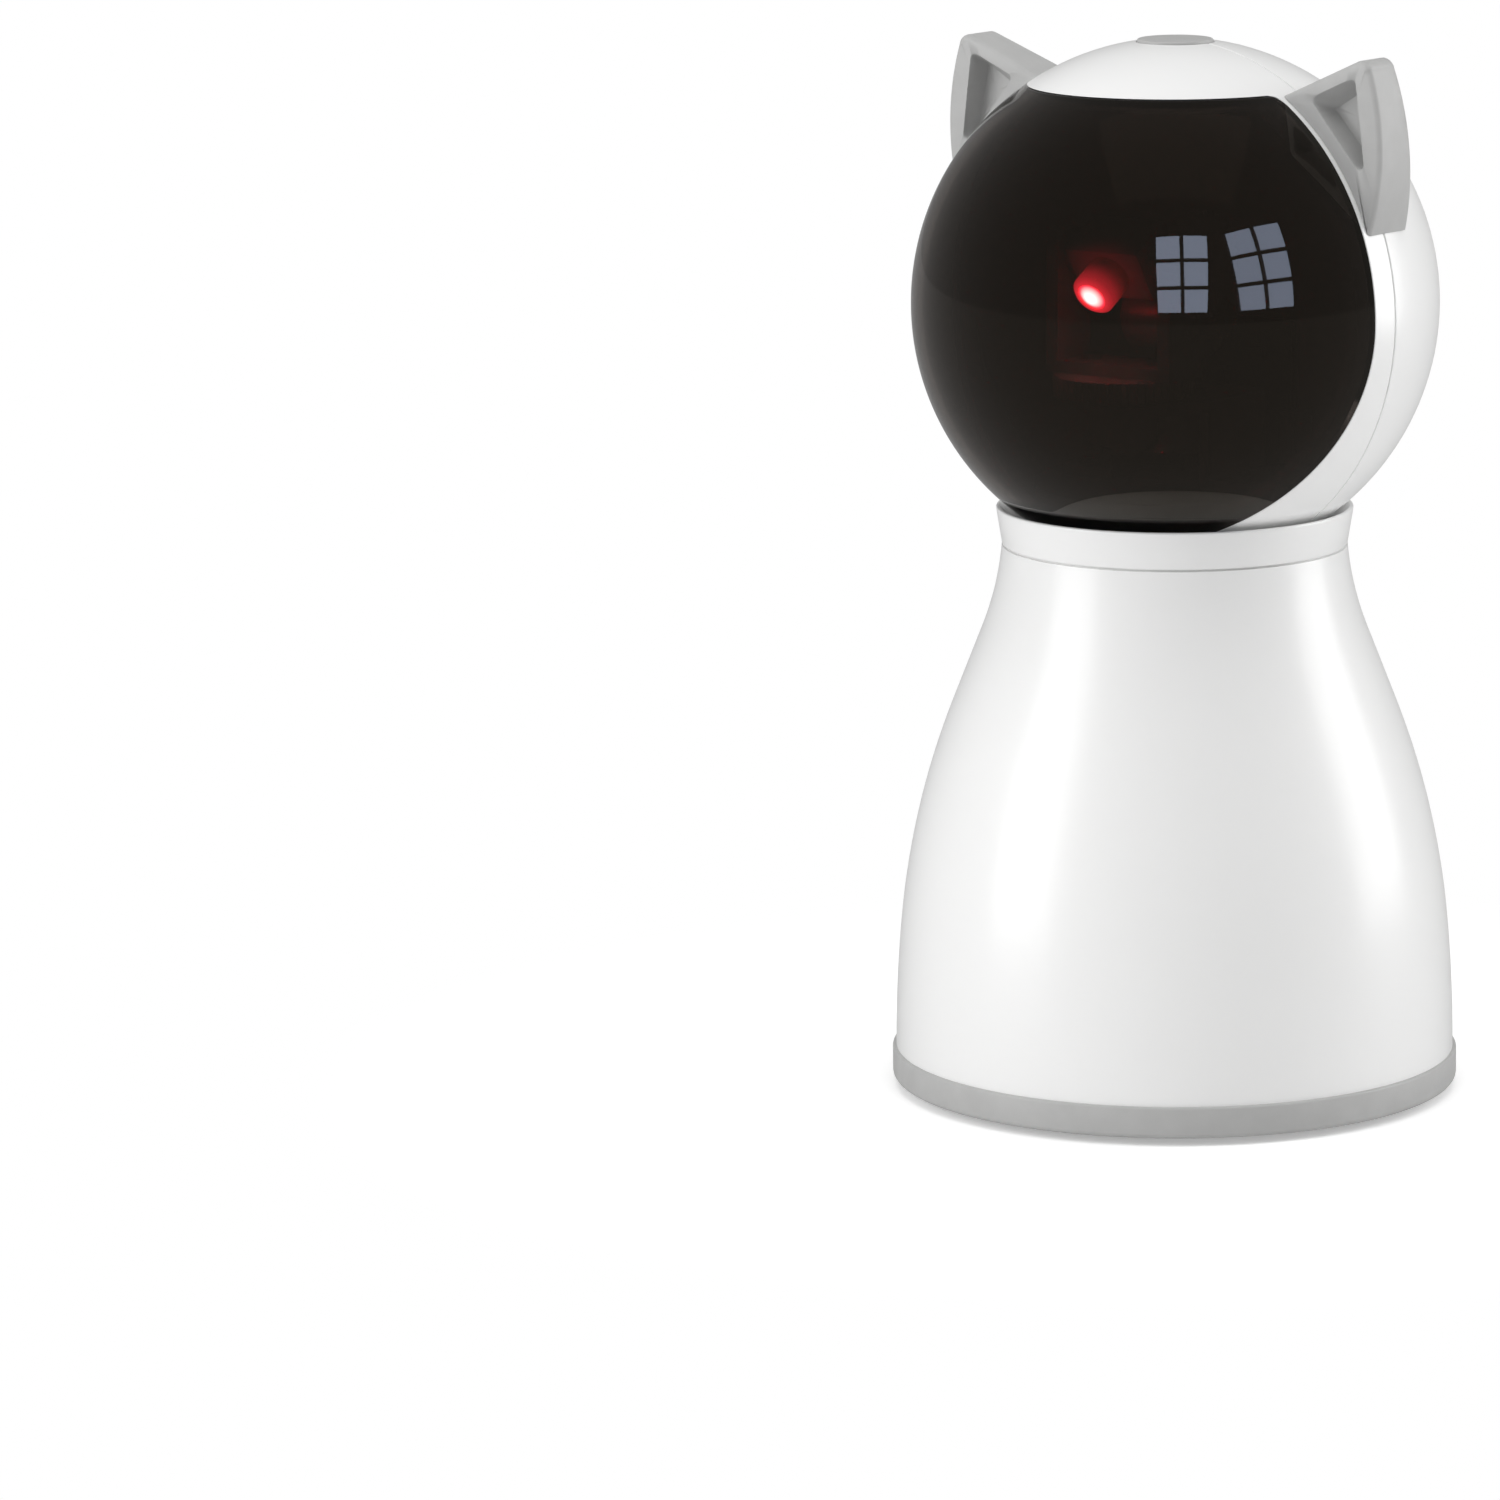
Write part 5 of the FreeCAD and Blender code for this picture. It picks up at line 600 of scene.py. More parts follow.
def make_collar():
    """Section (radius, height) turned: hub, bowl, groove, band and rounded rim, with stop lugs."""
    bowl = arc_between((31.3, -36.39), (12.3, -46.40), 48.0, 18)
    under = arc_between((13.5, -48.14), (24.67, -43.49), 50.0, 12)
    section = np.concatenate((
        np.array([(10.06, -46.40), (10.06, -52.70), (13.5, -52.70)]), under,
        rounded([(30.3, -43.49, 0), (30.3, -43.09, 0), (30.9, -43.09, 0.1), (32.0, -36.39, 0.35),
                 (31.65, -36.39, 0)])[:-1], bowl))
    lugs = [bar(-1.5, 1.5, 13.2, 16.3, -55.2, -47.0, turn) for turn in STOP_TURNS]
    sheets = up([turned(section, 192)] + lugs)
    return piece("neck_collar", sheets, "base", ["collar"], "white")


def arc_between(start, end, radius, count):
    """Arc about the middle of the head through two points at about that radius."""
    a0, a1 = (math.atan2(z, x) for x, z in (start, end))
    r0, r1 = (math.hypot(*point) for point in (start, end))
    t = np.linspace(0, 1, count)
    angle, reach = a0 + (a1 - a0) * t, r0 + (r1 - r0) * t
    return reach[:, None] * way(angle)


def make_rear_shell():
    """Back half of the ball between the neck hole and the button hole, with two bosses."""
    skins = []
    for radius in (BALL, BALL - WALL):
        rows = ball_rows(-ring_at(radius, NECK_HOLE), ring_at(radius, BUTTON_HOLE), 72, radius)
        ring = ring_at(radius, rows)
        start = np.arcsin(HALF_JOINT / ring)[:, None]
        angle = start + (math.pi - 2 * start) * np.linspace(0, 1, 97)
        skins.append(by_rows(ring, angle, rows))
    sheets = thick(*skins)
    for x in (-HEAD_POST_PLACE, HEAD_POST_PLACE):
        sheets.append(post(x, HEAD_POST_PLACE, POST_RADIUS, *HEAD_POST_SPAN))
    return edged(piece("head_back", up(sheets), "head", ["head_rear_shell"], "white", 180))


def visor_tip(radius, grow):
    """Height where the visor's two edges meet in front, found by bisection."""
    low, high = -radius + 0.01, -20.0
    for _ in range(60):
        middle = (low + high) / 2
        if visor_edge(middle, grow) > ring_at(radius, middle):
            low = middle
        else:
            high = middle
    return high


def front_grid(radius):
    """Front half of the ball: side strip, window and side strip over every row."""
    tip = visor_tip(radius, 0.0)
    rows = np.concatenate((ball_rows(-ring_at(radius, NECK_HOLE), tip, 9, radius)[:-1],
                           ball_rows(tip, VISOR_TOP - VISOR_CORNER, 64, radius)[:-1],
                           ball_rows(VISOR_TOP - VISOR_CORNER, VISOR_TOP, 8, radius)[:-1],
                           ball_rows(VISOR_TOP, ring_at(radius, BUTTON_HOLE), 24, radius)))
    strip = ball_patch(radius, rows, level_at(HALF_JOINT), visor_edge, 15)
    window = ball_patch(radius, rows, visor_edge, level_at(PAST_FRONT), 33)[:, 1:]
    half = np.concatenate((strip, window), 1)
    return np.concatenate((half, mirrored(half)[:, -2::-1]), 1)


TIP_ROW, TOP_ROW, EDGE_COLUMN = 8, 78, 14


def make_front_shell():
    """Front frame round the visor, cap over it, ledge behind it and locating lip."""
    outer, inner = front_grid(BALL), front_grid(BALL - WALL)
    last = outer.shape[1] - 1
    a, b, m, n = TIP_ROW, TOP_ROW, EDGE_COLUMN, last - EDGE_COLUMN
    skins = []
    for grid in (outer, inner):
        points, faces = sheet(grid)
        row, column = faces[:, 0] // (last + 1), faces[:, 0] % (last + 1)
        window = (row >= a) & (row < b) & (column >= m) & (column < n)
        skins.append((points, faces[~window]))
    rims = ((outer[:, 0], inner[:, 0]), (outer[:, -1], inner[:, -1]), (outer[0], inner[0]),
            (outer[-1], inner[-1]), (outer[a:b + 1, m], inner[a:b + 1, m]),
            (outer[a:b + 1, n], inner[a:b + 1, n]), (outer[b, m:n + 1], inner[b, m:n + 1]))
    sheets = skins + [sheet(np.stack(rim)) for rim in rims]
    shell = edged(piece("head_front", up(sheets), "head", ["head_front_shell"], "white", 180))
    rows = ball_rows(-36.0, VISOR_TOP - 1.0, 40, LEDGE_RADII[0])
    side = [ball_patch(radius, rows, lambda z: visor_edge(z) - 3.0, lambda z: visor_edge(z) + 3.0,
                       6) for radius in LEDGE_RADII]
    brow = [ball_patch(radius, ball_rows(VISOR_TOP - 3.0, VISOR_TOP + 2.6, 6, radius),
                       level_at(7.0), level_at(PAST_FRONT), 24) for radius in LEDGE_RADII]
    ledges = []
    for skin in (side, brow):
        ledges += thick(*skin) + thick(mirrored(skin[0]), mirrored(skin[1]))
    angle = np.linspace(math.asin(-18 / 44.65), math.acos(10.5 / 44.65), 48)
    section = np.array([(43.3, -2.6), (44.85, -2.6), (44.85, -0.15), (44.65, 0.1), (44.65, 1.4),
                        (43.3, 1.4)])
    lip = np.stack((np.outer(np.cos(angle), section[:, 0]), np.tile(section[:, 1], (48, 1)),
                    np.outer(np.sin(angle), section[:, 0])), -1)
    for side_lip in (lip, mirrored(lip)):
        ends = [np.stack((end[:3], end[:2:-1])) for end in (side_lip[0], side_lip[-1])]
        ledges += [sheet(side_lip, close_v=True)] + [sheet(end) for end in ends]
    for x in (-HEAD_POST_PLACE, HEAD_POST_PLACE):
        ledges.append(post(x, -HEAD_POST_PLACE, POST_RADIUS, *HEAD_POST_SPAN))
    piece("front_ledges", up(ledges), "head", [], "white")
    return shell


def make_visor():
    """Ball-shaped window 2 thick that stands a small gap inside the frame."""
    skins = []
    for radius in (BALL, BALL - VISOR_WALL):
        tip, top = visor_tip(radius, -HALF_JOINT), VISOR_TOP - HALF_JOINT
        rows = np.concatenate((ball_rows(tip, top - VISOR_CORNER, 80, radius)[:-1],
                               ball_rows(top - VISOR_CORNER, top, 10, radius)))
        half = ball_patch(radius, rows, lambda z: visor_edge(z, -HALF_JOINT),
                          level_at(PAST_FRONT), 49)
        skins.append(np.concatenate((half, mirrored(half)[:, -2::-1]), 1))
    return edged(piece("face_visor", up(thick(*skins)), "head", ["visor"], "visor", 180), 0.15)


def edged(thing, width=0.22):
    """Small rounding on the long edges of a shell."""
    bevel = thing.modifiers.new("edge_round", "BEVEL")
    bevel.width = width * MM
    bevel.segments = 3
    bevel.limit_method = "ANGLE"
    bevel.angle_limit = math.radians(50)
    bevel.harden_normals = True
    return thing


# Outline of an ear in the plane across the head, seen from the front, right-hand ear.
EAR_APEX, EAR_INNER, EAR_LOWER = (43.6, 46.5), (26.25, 38.74), (44.5, 15.4)
EAR_FRONT, EAR_BACK, EAR_LEAN, EAR_LEAN_START = -4.8, 7.0, math.radians(10.1), 41.0
EAR_BULGE, EAR_SEAT, EAR_WAY = 47.4, 47.05, math.radians(47.5)
POCKET_DEPTH = -0.4
POCKET_TOP = ((41.3, 42.7, 0.8), (32.2, 38.6, 0.8), (43.5, 25.1, 0.8))
POCKET_FLOOR = ((40.8, 40.7, 0.6), (34.2, 36.6, 0.6), (43.5, 26.1, 0.6))
POCKET_HEART = np.array((39.2, 35.6))


def ear_outline():
    """Outer edge from the lower end, up the bulging side, round the apex, to the inner end."""
    low, apex, inner = (np.array(p) for p in (EAR_LOWER, EAR_APEX, EAR_INNER))
    chord = apex - low
    half = np.linalg.norm(chord) / 2
    normal = np.array((chord[1], -chord[0])) / (2 * half)
    middle = (low + apex) / 2 - normal * math.sqrt(EAR_BULGE ** 2 - half ** 2)
    a0, a1 = (math.atan2(*(p - middle)[::-1]) for p in (low, apex))
    side = middle + EAR_BULGE * way(np.linspace(a0, a1, 40))
    before, after = side[-2], inner
    corner = rounded([(*before, 0), (*apex, 2.2), (*after, 0)], 8)[1:-1]
    keep = side[np.linalg.norm(side - apex, axis=1) > np.linalg.norm(corner[0] - apex)]
    brow = corner[-1] + (inner - corner[-1]) * np.linspace(0, 1, 16)[1:, None]
    return np.concatenate((keep, corner, brow))


def inset_line(line, distance):
    """Line moved to its left by a distance, square to its own direction."""
    along = np.gradient(line, axis=0)
    along /= np.linalg.norm(along, axis=1)[:, None]
    return line + distance * np.column_stack((-along[:, 1], along[:, 0]))


def by_angle(corners, around):
    """Closed outline sampled in the directions of the points around it."""
    line = rounded(corners, 5)
    line = np.concatenate((line, line[:1]))
    line = np.concatenate([a + (b - a) * np.linspace(0, 1, 12)[:-1, None]
                           for a, b in zip(line[:-1], line[1:])]) - POCKET_HEART
    angle = np.arctan2(line[:, 1], line[:, 0])
    order = np.argsort(angle)
    want = np.arctan2(*(around - POCKET_HEART).T[::-1])
    reach = np.interp(want, angle[order], np.linalg.norm(line, axis=1)[order], period=2 * math.pi)
    return POCKET_HEART + reach[:, None] * way(want)


def ear_back(flat):
    """Depth of the sloping back: level up to a distance from the ball's middle, then leaning."""
    out = flat @ way(np.array([EAR_WAY]))[0]
    return EAR_BACK - np.maximum(out - EAR_LEAN_START, 0) * math.tan(EAR_LEAN)


def ear_ring(inset, share, forward=0.0):
    """Closed ring round the ear at a share of its depth: outer edge, then back along the ball."""
    edge = inset_line(ear_outline(), inset)
    ahead = way(np.arctan2(edge[::-1, 1], edge[::-1, 0]))
    seat = EAR_SEAT * ahead
    for _ in range(4):
        depth = EAR_FRONT + forward + (ear_back(seat) - EAR_FRONT) * share
        seat = ring_at(EAR_SEAT, depth)[:, None] * ahead
    inside = np.linalg.norm(edge, axis=1) < np.linalg.norm(seat[::-1], axis=1)
    edge = np.where(inside[:, None], seat[::-1], edge)
    flat = np.concatenate((edge, seat))
    depth = EAR_FRONT + forward + (ear_back(flat) - EAR_FRONT) * share
    return np.column_stack((flat[:, 0], depth, flat[:, 1]))


def flat_ring(flat, y):
    return np.column_stack((flat[:, 0], np.full(len(flat), y), flat[:, 1]))


def ear_grid():
    """Rings over one ear, from the middle of the pocket, over the rim, to the back."""
    first = ear_ring(0.0, 0.0)[:, [0, 2]]
    middle = np.tile(POCKET_HEART, (len(first), 1))
    floor = by_angle(POCKET_FLOOR, first)
    opening = by_angle(POCKET_TOP, first)
    grown = POCKET_HEART + (opening - POCKET_HEART) * 1.035
    rings = [flat_ring(middle, POCKET_DEPTH),
             flat_ring(POCKET_HEART + (floor - POCKET_HEART) * 0.93, POCKET_DEPTH),
             flat_ring(floor, -0.75), flat_ring(floor + (opening - floor) * 0.9, -4.1),
             flat_ring(opening, EAR_FRONT + 0.25), flat_ring(grown, EAR_FRONT)]
    for step in np.linspace(0, 1, 5):
        lean = step * math.pi / 2
        rings.append(ear_ring(1.0 - math.sin(lean), 0.0, 1.0 - math.cos(lean)))
    for share in (0.25, 0.5, 0.75):
        rings.append(ear_ring(0.0, share, 1.0 - share))
    rings += [ear_ring(0.0, 1.0, -0.5), ear_ring(0.15, 1.0, -0.15), ear_ring(0.5, 1.0)]
    rings.append(flat_ring(middle, ear_back(POCKET_HEART[None])[0]))
    return np.stack(rings)


def make_ears():
    """Both ears, one the mirror image of the other."""
    grid = ear_grid()
    ears = []
    for name, shape in (("right_ear", grid), ("left_ear", mirrored(grid))):
        sheets = up([sheet(shape, close_v=True)])
        ears.append(piece(name + "_cap", sheets, "head", [name], "grey", 50))
    return ears


def make_button():
    """Section (radius, height) turned: stem, flange, and a top with a rounded rim."""
    section = rounded([
        (0, 39.93, 0), (2.0, 39.93, 0), (2.0, 42.63, 0), (8.0, 42.63, 0), (8.0, 43.83, 0),
        (6.8, 43.83, 0), (6.8, 47.0, 0.45), (0, 47.0, 0)])
    return piece("button_cap", up([turned(section, 96, closed=False)]), "button",
                 ["power_button"], "grey")


def make_lens():
    """Bulging disc turned about the laser's axis, at distances in front of the tilt axis."""
    across = np.linspace(0, 1, 9)[1:]
    dome = np.column_stack((2.6 * (1 - across), 11.1 + 0.7 * np.sin(across * math.pi / 2)))
    section = np.concatenate((np.array([(0, 9.9), (2.6, 9.9), (2.6, 11.1)]), dome))
    angle = np.linspace(0, 2 * math.pi, 48, endpoint=False)
    ahead = np.array((0, -math.cos(LASER_DROP), -math.sin(LASER_DROP)))
    rise = np.array((0, -math.sin(LASER_DROP), math.cos(LASER_DROP)))
    points = (section[:, 1, None, None] * ahead
              + section[:, 0, None, None] * (np.cos(angle)[:, None] * np.array((1.0, 0, 0))
                                             + np.sin(angle)[:, None] * rise))
    disc = sheet(points + np.array(LASER_AXIS), close_v=True)
    return piece("lens_disc", [disc], "laser_unit", ["laser_lens"], "lens", 50)


def finish_frame_parts():
    """Materials for the CAD nodes that stay shown."""
    for finish, nodes in CAD_FINISHES.items():
        for name in nodes:
            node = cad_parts[name]
            node.data.materials.clear()
            node.data.materials.append(material(finish))


# Stage. Lengths are in metres.

TOY_MIDDLE = Vector((0, 0, 0.090))
LAMP_AIM, VISOR_AIM = (0, 0, 0.1), (0, -0.03, 0.142)
PLAIN_WHITE, PANE_TINT = (1.0, 1.0, 1.0), (0.46, 0.62, 1.0)
FLOOR_PAINT = (0.90, 0.90, 0.90)
FLOOR_FADE = (0.06, 0.16)
FLOOR_OVER_ROOM = 1.3


def soft_lamp(name, place, aim, size, power, height=None):
    data = bpy.data.lights.new(name, "AREA")
    data.shape = "RECTANGLE"
    data.size = size
    data.size_y = height or size
    data.energy = power
    lamp = placed(name, data)
    lamp.location = place
    lamp.rotation_euler = (Vector(aim) - Vector(place)).to_track_quat("-Z", "Y").to_euler()
    return lamp


def emitter(tree, colour, strength):
    """Glow of a colour, at the strength that another node gives."""
    glow = tree.add("ShaderNodeEmission", Color=(*colour, 1.0))
    tree.link(strength, glow.inputs["Strength"])
    return glow.outputs["Emission"]


def add_panes(data):
    """Cool panes between dark bars over the face of an area lamp, two across and three high."""
    tree = new_tree(data)
    where = tree.add("ShaderNodeNewGeometry")
    split = tree.add("ShaderNodeSeparateXYZ")
    tree.link(where.outputs["Parametric"], split.inputs["Vector"])
    clear = []
    for axis, count in (("X", 2.0), ("Y", 3.0)):
        part = math_node(tree, "FRACT", math_node(tree, "MULTIPLY", split.outputs[axis], count))
        off = math_node(tree, "ABSOLUTE", math_node(tree, "SUBTRACT", part, 0.5))
        clear.append(math_node(tree, "LESS_THAN", off, 0.43))
    out = tree.add("ShaderNodeOutputLight")
    tree.link(emitter(tree, PANE_TINT, math_node(tree, "MULTIPLY", *clear)),
              out.inputs["Surface"])


def shine_on(lamp, thing, state):
    """Lamp that lights only one piece, or every piece but that one."""
    group = bpy.data.collections.new(lamp.name + "_pieces")
    group.objects.link(thing)
    group.collection_objects[0].light_linking.link_state = state
    lamp.light_linking.receiver_collection = group


def seen_directly(tree, path):
    """1 where the camera looks straight at the surface or through clear plastic, or else 0."""
    return math_node(tree, "MAXIMUM", path.outputs["Is Camera Ray"],
                     path.outputs["Is Transmission Ray"])


def by_ray(tree, seen, mirrored_at, lit):
    """Strength by kind of ray: seen directly, seen in a reflection, or as a source of light."""
    path = tree.add("ShaderNodeLightPath")
    view = seen_directly(tree, path)
    shine = math_node(tree, "MULTIPLY", path.outputs["Is Glossy Ray"], mirrored_at - lit)
    plain = math_node(tree, "ADD", shine, lit)
    return math_node(tree, "MAXIMUM", math_node(tree, "MULTIPLY", view, seen), plain)


def make_world(settings):
    """White surroundings, dimmer as light and in reflections than as the camera sees them."""
    world = bpy.data.worlds.new("studio")
    bpy.context.scene.world = world
    tree = new_tree(world)
    back = tree.add("ShaderNodeBackground", Color=(*PLAIN_WHITE, 1.0))
    strength = by_ray(tree, 1.0, settings.mirrored, settings.ambient)
    tree.link(strength, back.inputs["Strength"])
    out = tree.add("ShaderNodeOutputWorld")
    tree.link(back.outputs["Background"], out.inputs["Surface"])


def make_floor(settings):
    """Round white floor that fades to plain white away from the toy."""
    disc = turned(np.array([(0, 0), (400, 0), (4000, 0)], float), 64, closed=False)
    mesh = bpy.data.meshes.new("floor")
    mesh.from_pydata((disc[0] * MM).tolist(), [], disc[1].tolist())
    floor = placed("floor", mesh)
    made = bpy.data.materials.new("floor")
    tree = new_tree(made)
    place = tree.add("ShaderNodeTexCoord")
    length = tree.add("ShaderNodeVectorMath", operation="LENGTH")
    tree.link(place.outputs["Object"], length.inputs[0])
    fade = tree.add("ShaderNodeMapRange", interpolation_type="SMOOTHSTEP",
                    **{"From Min": FLOOR_FADE[0], "From Max": FLOOR_FADE[1]})
    tree.link(length.outputs["Value"], fade.inputs["Value"])
    path = tree.add("ShaderNodeLightPath")
    shown = seen_directly(tree, path)
    plain = math_node(tree, "MULTIPLY", shown, fade.outputs["Result"])
    plain = math_node(tree, "MAXIMUM", plain, path.outputs["Is Glossy Ray"])
    paint = tree.add("ShaderNodeBsdfDiffuse", Color=(*FLOOR_PAINT, 1.0))
    lift = emitter(tree, PLAIN_WHITE, math_node(tree, "MULTIPLY", shown, settings.floor_lift))
    both = tree.add("ShaderNodeAddShader")
    tree.link(paint.outputs["BSDF"], both.inputs[0])
    tree.link(lift, both.inputs[1])
    glow = emitter(tree, PLAIN_WHITE,
                   by_ray(tree, 1.0, settings.mirrored * FLOOR_OVER_ROOM, 1.0))
    mix = tree.add("ShaderNodeMixShader")
    tree.link(plain, mix.inputs["Fac"])
    tree.link(both.outputs["Shader"], mix.inputs[1])
    tree.link(glow, mix.inputs[2])
    out = tree.add("ShaderNodeOutputMaterial")
    tree.link(mix.outputs["Shader"], out.inputs["Surface"])
    mesh.materials.append(made)


def make_camera(settings):
    """Camera on a level circle round the toy, turned so that the toy stands off centre."""
    turn, lift = settings.azimuth, settings.elevation
    back = Vector((math.sin(turn) * math.cos(lift), -math.cos(turn) * math.cos(lift),
                   math.sin(lift)))
    right = Vector((math.cos(turn), math.sin(turn), 0))
    above = back.cross(right)
    data = bpy.data.cameras.new("camera")
    data.lens = settings.lens
    data.clip_start = 0.05
    camera = placed("camera", data)
    span = settings.distance * 36.0 / settings.lens
    aim = TOY_MIDDLE - right * settings.aside * span - above * settings.over * span
    place = TOY_MIDDLE + back * settings.distance
    ahead = (aim - place).normalized()
    side = ahead.cross(above).normalized()
    top = side.cross(ahead)
    turned_to = Matrix((side, top, -ahead)).transposed().to_4x4()
    camera.matrix_world = Matrix.Translation(place) @ turned_to
    bpy.context.scene.camera = camera


def make_stage():
    """World, floor, camera and lamps. The patterned lamps light only the visor."""
    bpy.context.scene.view_settings.view_transform = "Standard"
    settings = bpy.context.scene.laser_toy_stage
    make_world(settings)
    make_floor(settings)
    make_camera(settings)
    turn = settings.azimuth
    back = Vector((math.sin(turn), -math.cos(turn), 0))
    right = Vector((math.cos(turn), math.sin(turn), 0))
    rise = Vector((0, 0, 1))
    visor = bpy.data.objects["face_visor"]
    left = soft_lamp("left_box", rise * 0.30 - right * 0.78 + back * 0.34, LAMP_AIM, 0.46,
                     settings.left_power, 0.9)
    side = soft_lamp("right_box", rise * 0.30 + right * 0.84 - back * 0.12, LAMP_AIM, 0.46,
                     settings.right_power, 0.9)
    over = soft_lamp("top_box", rise * 1.1 + back * 0.2, LAMP_AIM, 0.9, settings.top_power)
    over.visible_glossy = False
    for lamp in (left, side):
        shine_on(lamp, visor, "EXCLUDE")
    for name, across, width in (("near_window", 0.06, 0.44), ("far_window", 0.70, 0.50)):
        away = (right * across + back * 0.80).normalized() + rise * 0.36
        window = soft_lamp(name, Vector(VISOR_AIM) + away, VISOR_AIM, width,
                           settings.window_power, 0.66)
        add_panes(window.data)
        shine_on(window, visor, "INCLUDE")


# Settings, operators and panel.

class LaserToyColours(bpy.types.PropertyGroup):
    shell: FloatVectorProperty(name="Shell", description="Colour of the white plastic", size=3,
                               default=FINISHES["white"][0], subtype="COLOR", min=0.0, max=1.0)
    trim: FloatVectorProperty(name="Trim", description="Colour of ears, button and base band",
                              size=3, default=FINISHES["grey"][0], subtype="COLOR", min=0.0,
                              max=1.0)
    visor: FloatVectorProperty(name="Visor", description="Tint of the smoked window", size=3,
                               default=(0.040, 0.032, 0.028), subtype="COLOR", min=0.0, max=1.0)
    glow: FloatVectorProperty(name="Glow", description="Colour of the laser's light", size=3,
                              default=(1.0, 0.03, 0.06), subtype="COLOR", min=0.0, max=1.0)


class LaserToyStage(bpy.types.PropertyGroup):
    azimuth: FloatProperty(name="Azimuth", description="Camera's turn round the toy",
                           default=math.radians(35.15), subtype="ANGLE")
    elevation: FloatProperty(name="Elevation", description="Camera's angle above level",
                             default=math.radians(9.94), subtype="ANGLE")
    distance: FloatProperty(name="Distance", description="Camera to the middle of the toy",
                            default=1.351, unit="LENGTH")
    lens: FloatProperty(name="Lens", description="Focal length in millimetres on a 36 mm frame",
                        default=180.43)
    aside: FloatProperty(name="Aside", description="Toy right of the centre, in frame widths",
                         default=0.28293)
    over: FloatProperty(name="Over", description="Toy above the centre, in frame widths",
                        default=0.10667)
    ambient: FloatProperty(name="Ambient", description="Light from all round", default=0.42)
    floor_lift: FloatProperty(name="Floor lift", description="Brightness added to the floor",
                              default=0.34)
    mirrored: FloatProperty(name="Mirrored", description="Surroundings as reflections show them",
                            default=0.26)
    left_power: FloatProperty(name="Left box", description="Watts of the left lamp", default=4.0)
    right_power: FloatProperty(name="Right box", description="Watts of the right lamp",
                               default=4.0)
    top_power: FloatProperty(name="Top box", description="Watts of the lamp overhead",
                             default=4.5)
    window_power: FloatProperty(name="Windows", description="Watts of each panel that the visor "
                                "mirrors", default=7.0)


class BuildStep:
    """What every build operator shares."""
    bl_options = {"REGISTER"}

    def execute(self, context):
        self.build()
        return {"FINISHED"}


class LASERTOY_OT_base_ring(BuildStep, bpy.types.Operator):
    """Make the grey band round the foot"""
    bl_idname = "laser_toy.base_ring"
    bl_label = "Base band"
    build = staticmethod(make_base_ring)


class LASERTOY_OT_feet(BuildStep, bpy.types.Operator):
    """Make the rubber feet"""
    bl_idname = "laser_toy.feet"
    bl_label = "Feet"
    build = staticmethod(make_feet)


class LASERTOY_OT_body_shell(BuildStep, bpy.types.Operator):
    """Make the waisted body shell with its charging window"""
    bl_idname = "laser_toy.body_shell"
    bl_label = "Body shell"
    build = staticmethod(make_body_shell)


class LASERTOY_OT_collar(BuildStep, bpy.types.Operator):
    """Make the collar that the head turns in"""
    bl_idname = "laser_toy.collar"
    bl_label = "Collar"
    build = staticmethod(make_collar)


class LASERTOY_OT_rear_shell(BuildStep, bpy.types.Operator):
    """Make the back half of the head"""
    bl_idname = "laser_toy.rear_shell"
    bl_label = "Rear shell"
    build = staticmethod(make_rear_shell)


class LASERTOY_OT_front_shell(BuildStep, bpy.types.Operator):
    """Make the front frame of the head"""
    bl_idname = "laser_toy.front_shell"
    bl_label = "Front shell"
    build = staticmethod(make_front_shell)


class LASERTOY_OT_visor(BuildStep, bpy.types.Operator):
    """Make the smoked visor"""
    bl_idname = "laser_toy.visor"
    bl_label = "Visor"
    build = staticmethod(make_visor)


class LASERTOY_OT_ears(BuildStep, bpy.types.Operator):
    """Make the two ears"""
    bl_idname = "laser_toy.ears"
    bl_label = "Ears"
    build = staticmethod(make_ears)


class LASERTOY_OT_button(BuildStep, bpy.types.Operator):
    """Make the round button on top"""
    bl_idname = "laser_toy.button"
    bl_label = "Button"
    build = staticmethod(make_button)


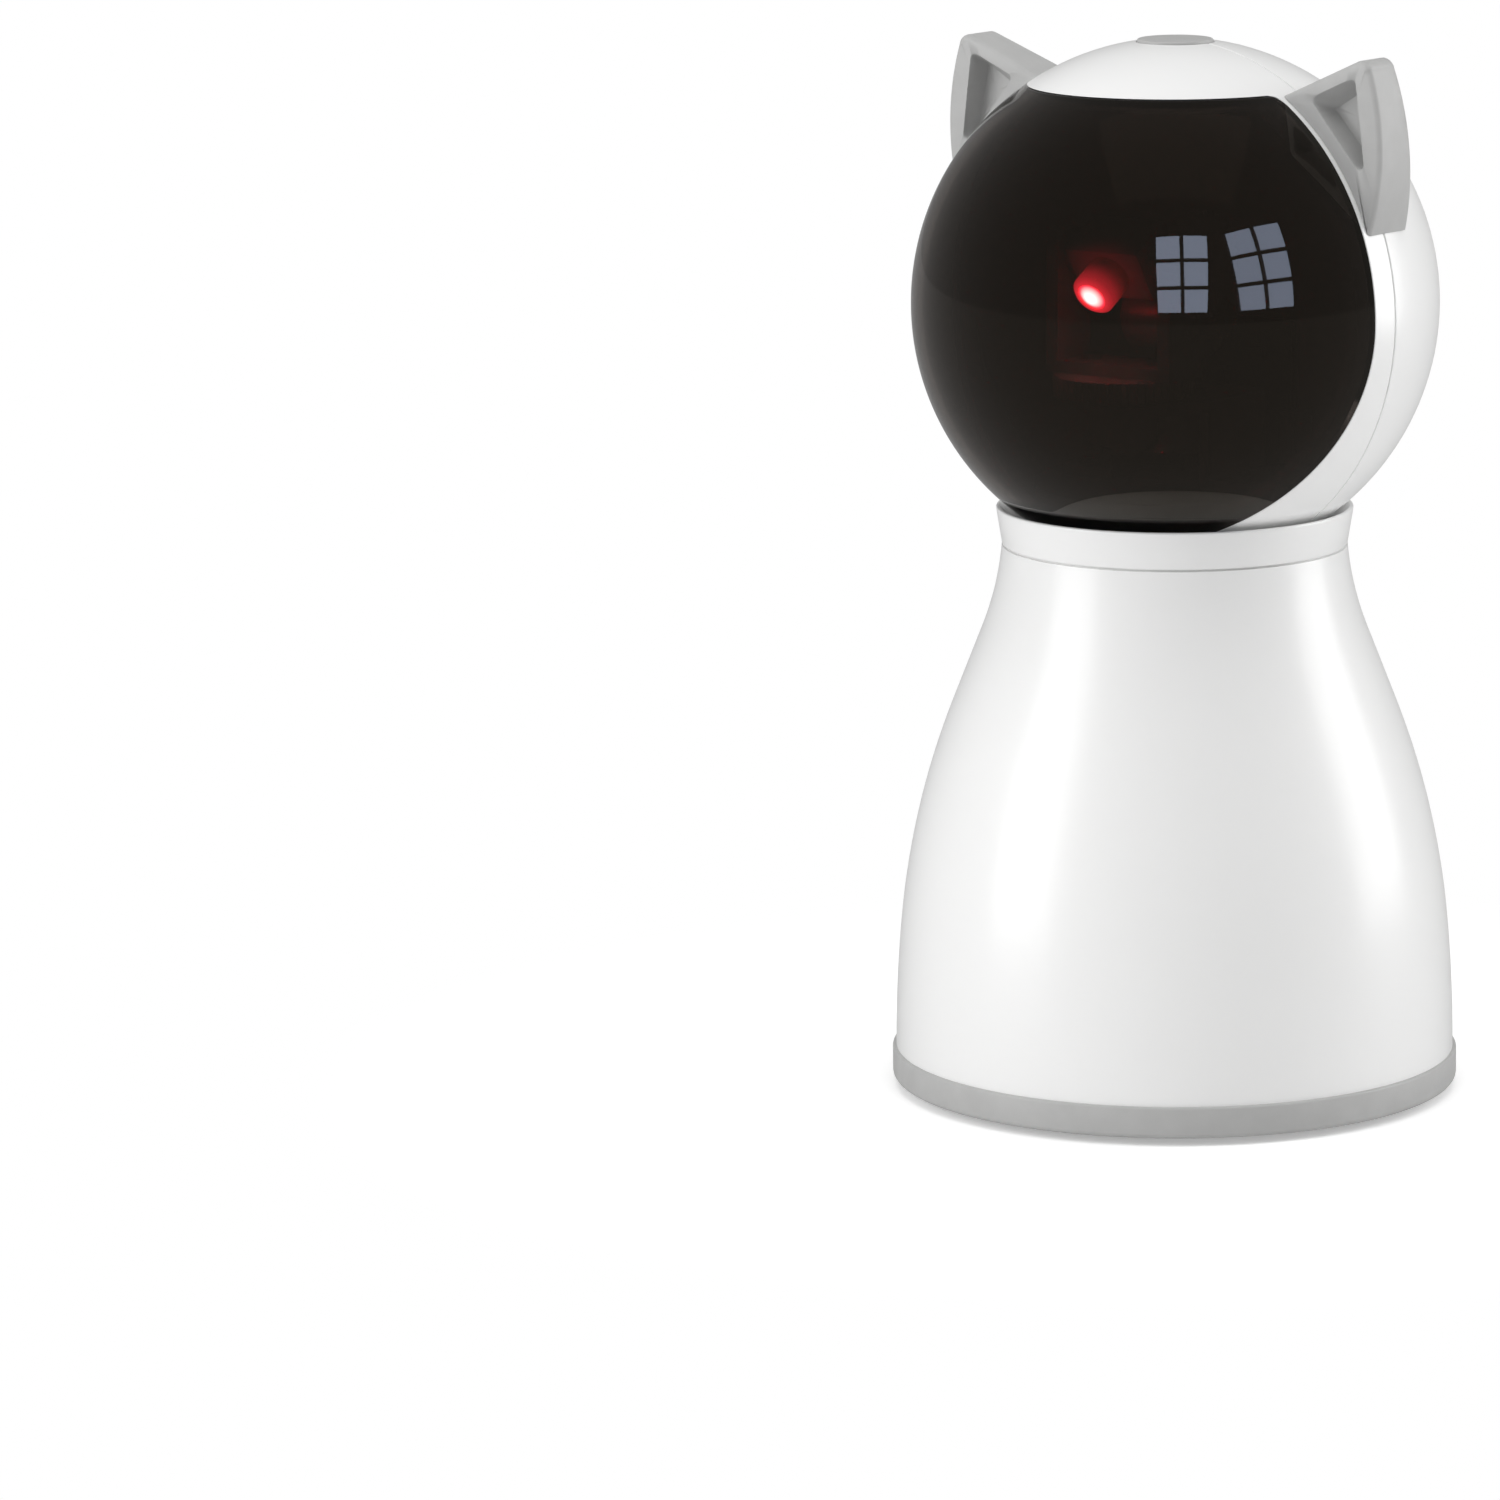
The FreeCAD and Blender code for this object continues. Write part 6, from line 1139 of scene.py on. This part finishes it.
class LASERTOY_OT_lens(BuildStep, bpy.types.Operator):
    """Make the laser's lens"""
    bl_idname = "laser_toy.lens"
    bl_label = "Lens"
    build = staticmethod(make_lens)


class LASERTOY_OT_frame_parts(BuildStep, bpy.types.Operator):
    """Give the CAD parts that stay shown their finishes"""
    bl_idname = "laser_toy.frame_parts"
    bl_label = "Inner parts"
    build = staticmethod(finish_frame_parts)


class LASERTOY_OT_stage(BuildStep, bpy.types.Operator):
    """Set up the floor, lamps and camera"""
    bl_idname = "laser_toy.stage"
    bl_label = "Stage"
    build = staticmethod(make_stage)


STEPS = (LASERTOY_OT_base_ring, LASERTOY_OT_feet, LASERTOY_OT_body_shell, LASERTOY_OT_collar,
         LASERTOY_OT_rear_shell, LASERTOY_OT_front_shell, LASERTOY_OT_visor, LASERTOY_OT_ears,
         LASERTOY_OT_button, LASERTOY_OT_lens, LASERTOY_OT_frame_parts, LASERTOY_OT_stage)


class LASERTOY_PT_panel(bpy.types.Panel):
    bl_idname = "LASERTOY_PT_panel"
    bl_label = "Laser Toy"
    bl_space_type = "VIEW_3D"
    bl_region_type = "UI"
    bl_category = "Laser Toy"

    def draw(self, context):
        for group in (context.scene.laser_toy_colours, context.scene.laser_toy_stage):
            box = self.layout.box()
            for name in group.bl_rna.properties.keys():
                if name not in ("rna_type", "name"):
                    box.prop(group, name)
        for step in STEPS:
            self.layout.operator(step.bl_idname)


CLASSES = (LaserToyColours, LaserToyStage) + STEPS + (LASERTOY_PT_panel,)


def register():
    for entry in CLASSES:
        bpy.utils.register_class(entry)
    bpy.types.Scene.laser_toy_colours = PointerProperty(type=LaserToyColours)
    bpy.types.Scene.laser_toy_stage = PointerProperty(type=LaserToyStage)


def unregister():
    del bpy.types.Scene.laser_toy_stage
    del bpy.types.Scene.laser_toy_colours
    for entry in reversed(CLASSES):
        bpy.utils.unregister_class(entry)


def main():
    register()
    for step in STEPS:
        getattr(bpy.ops.laser_toy, step.bl_idname.partition(".")[2])()


if __name__ == "__main__":
    main()
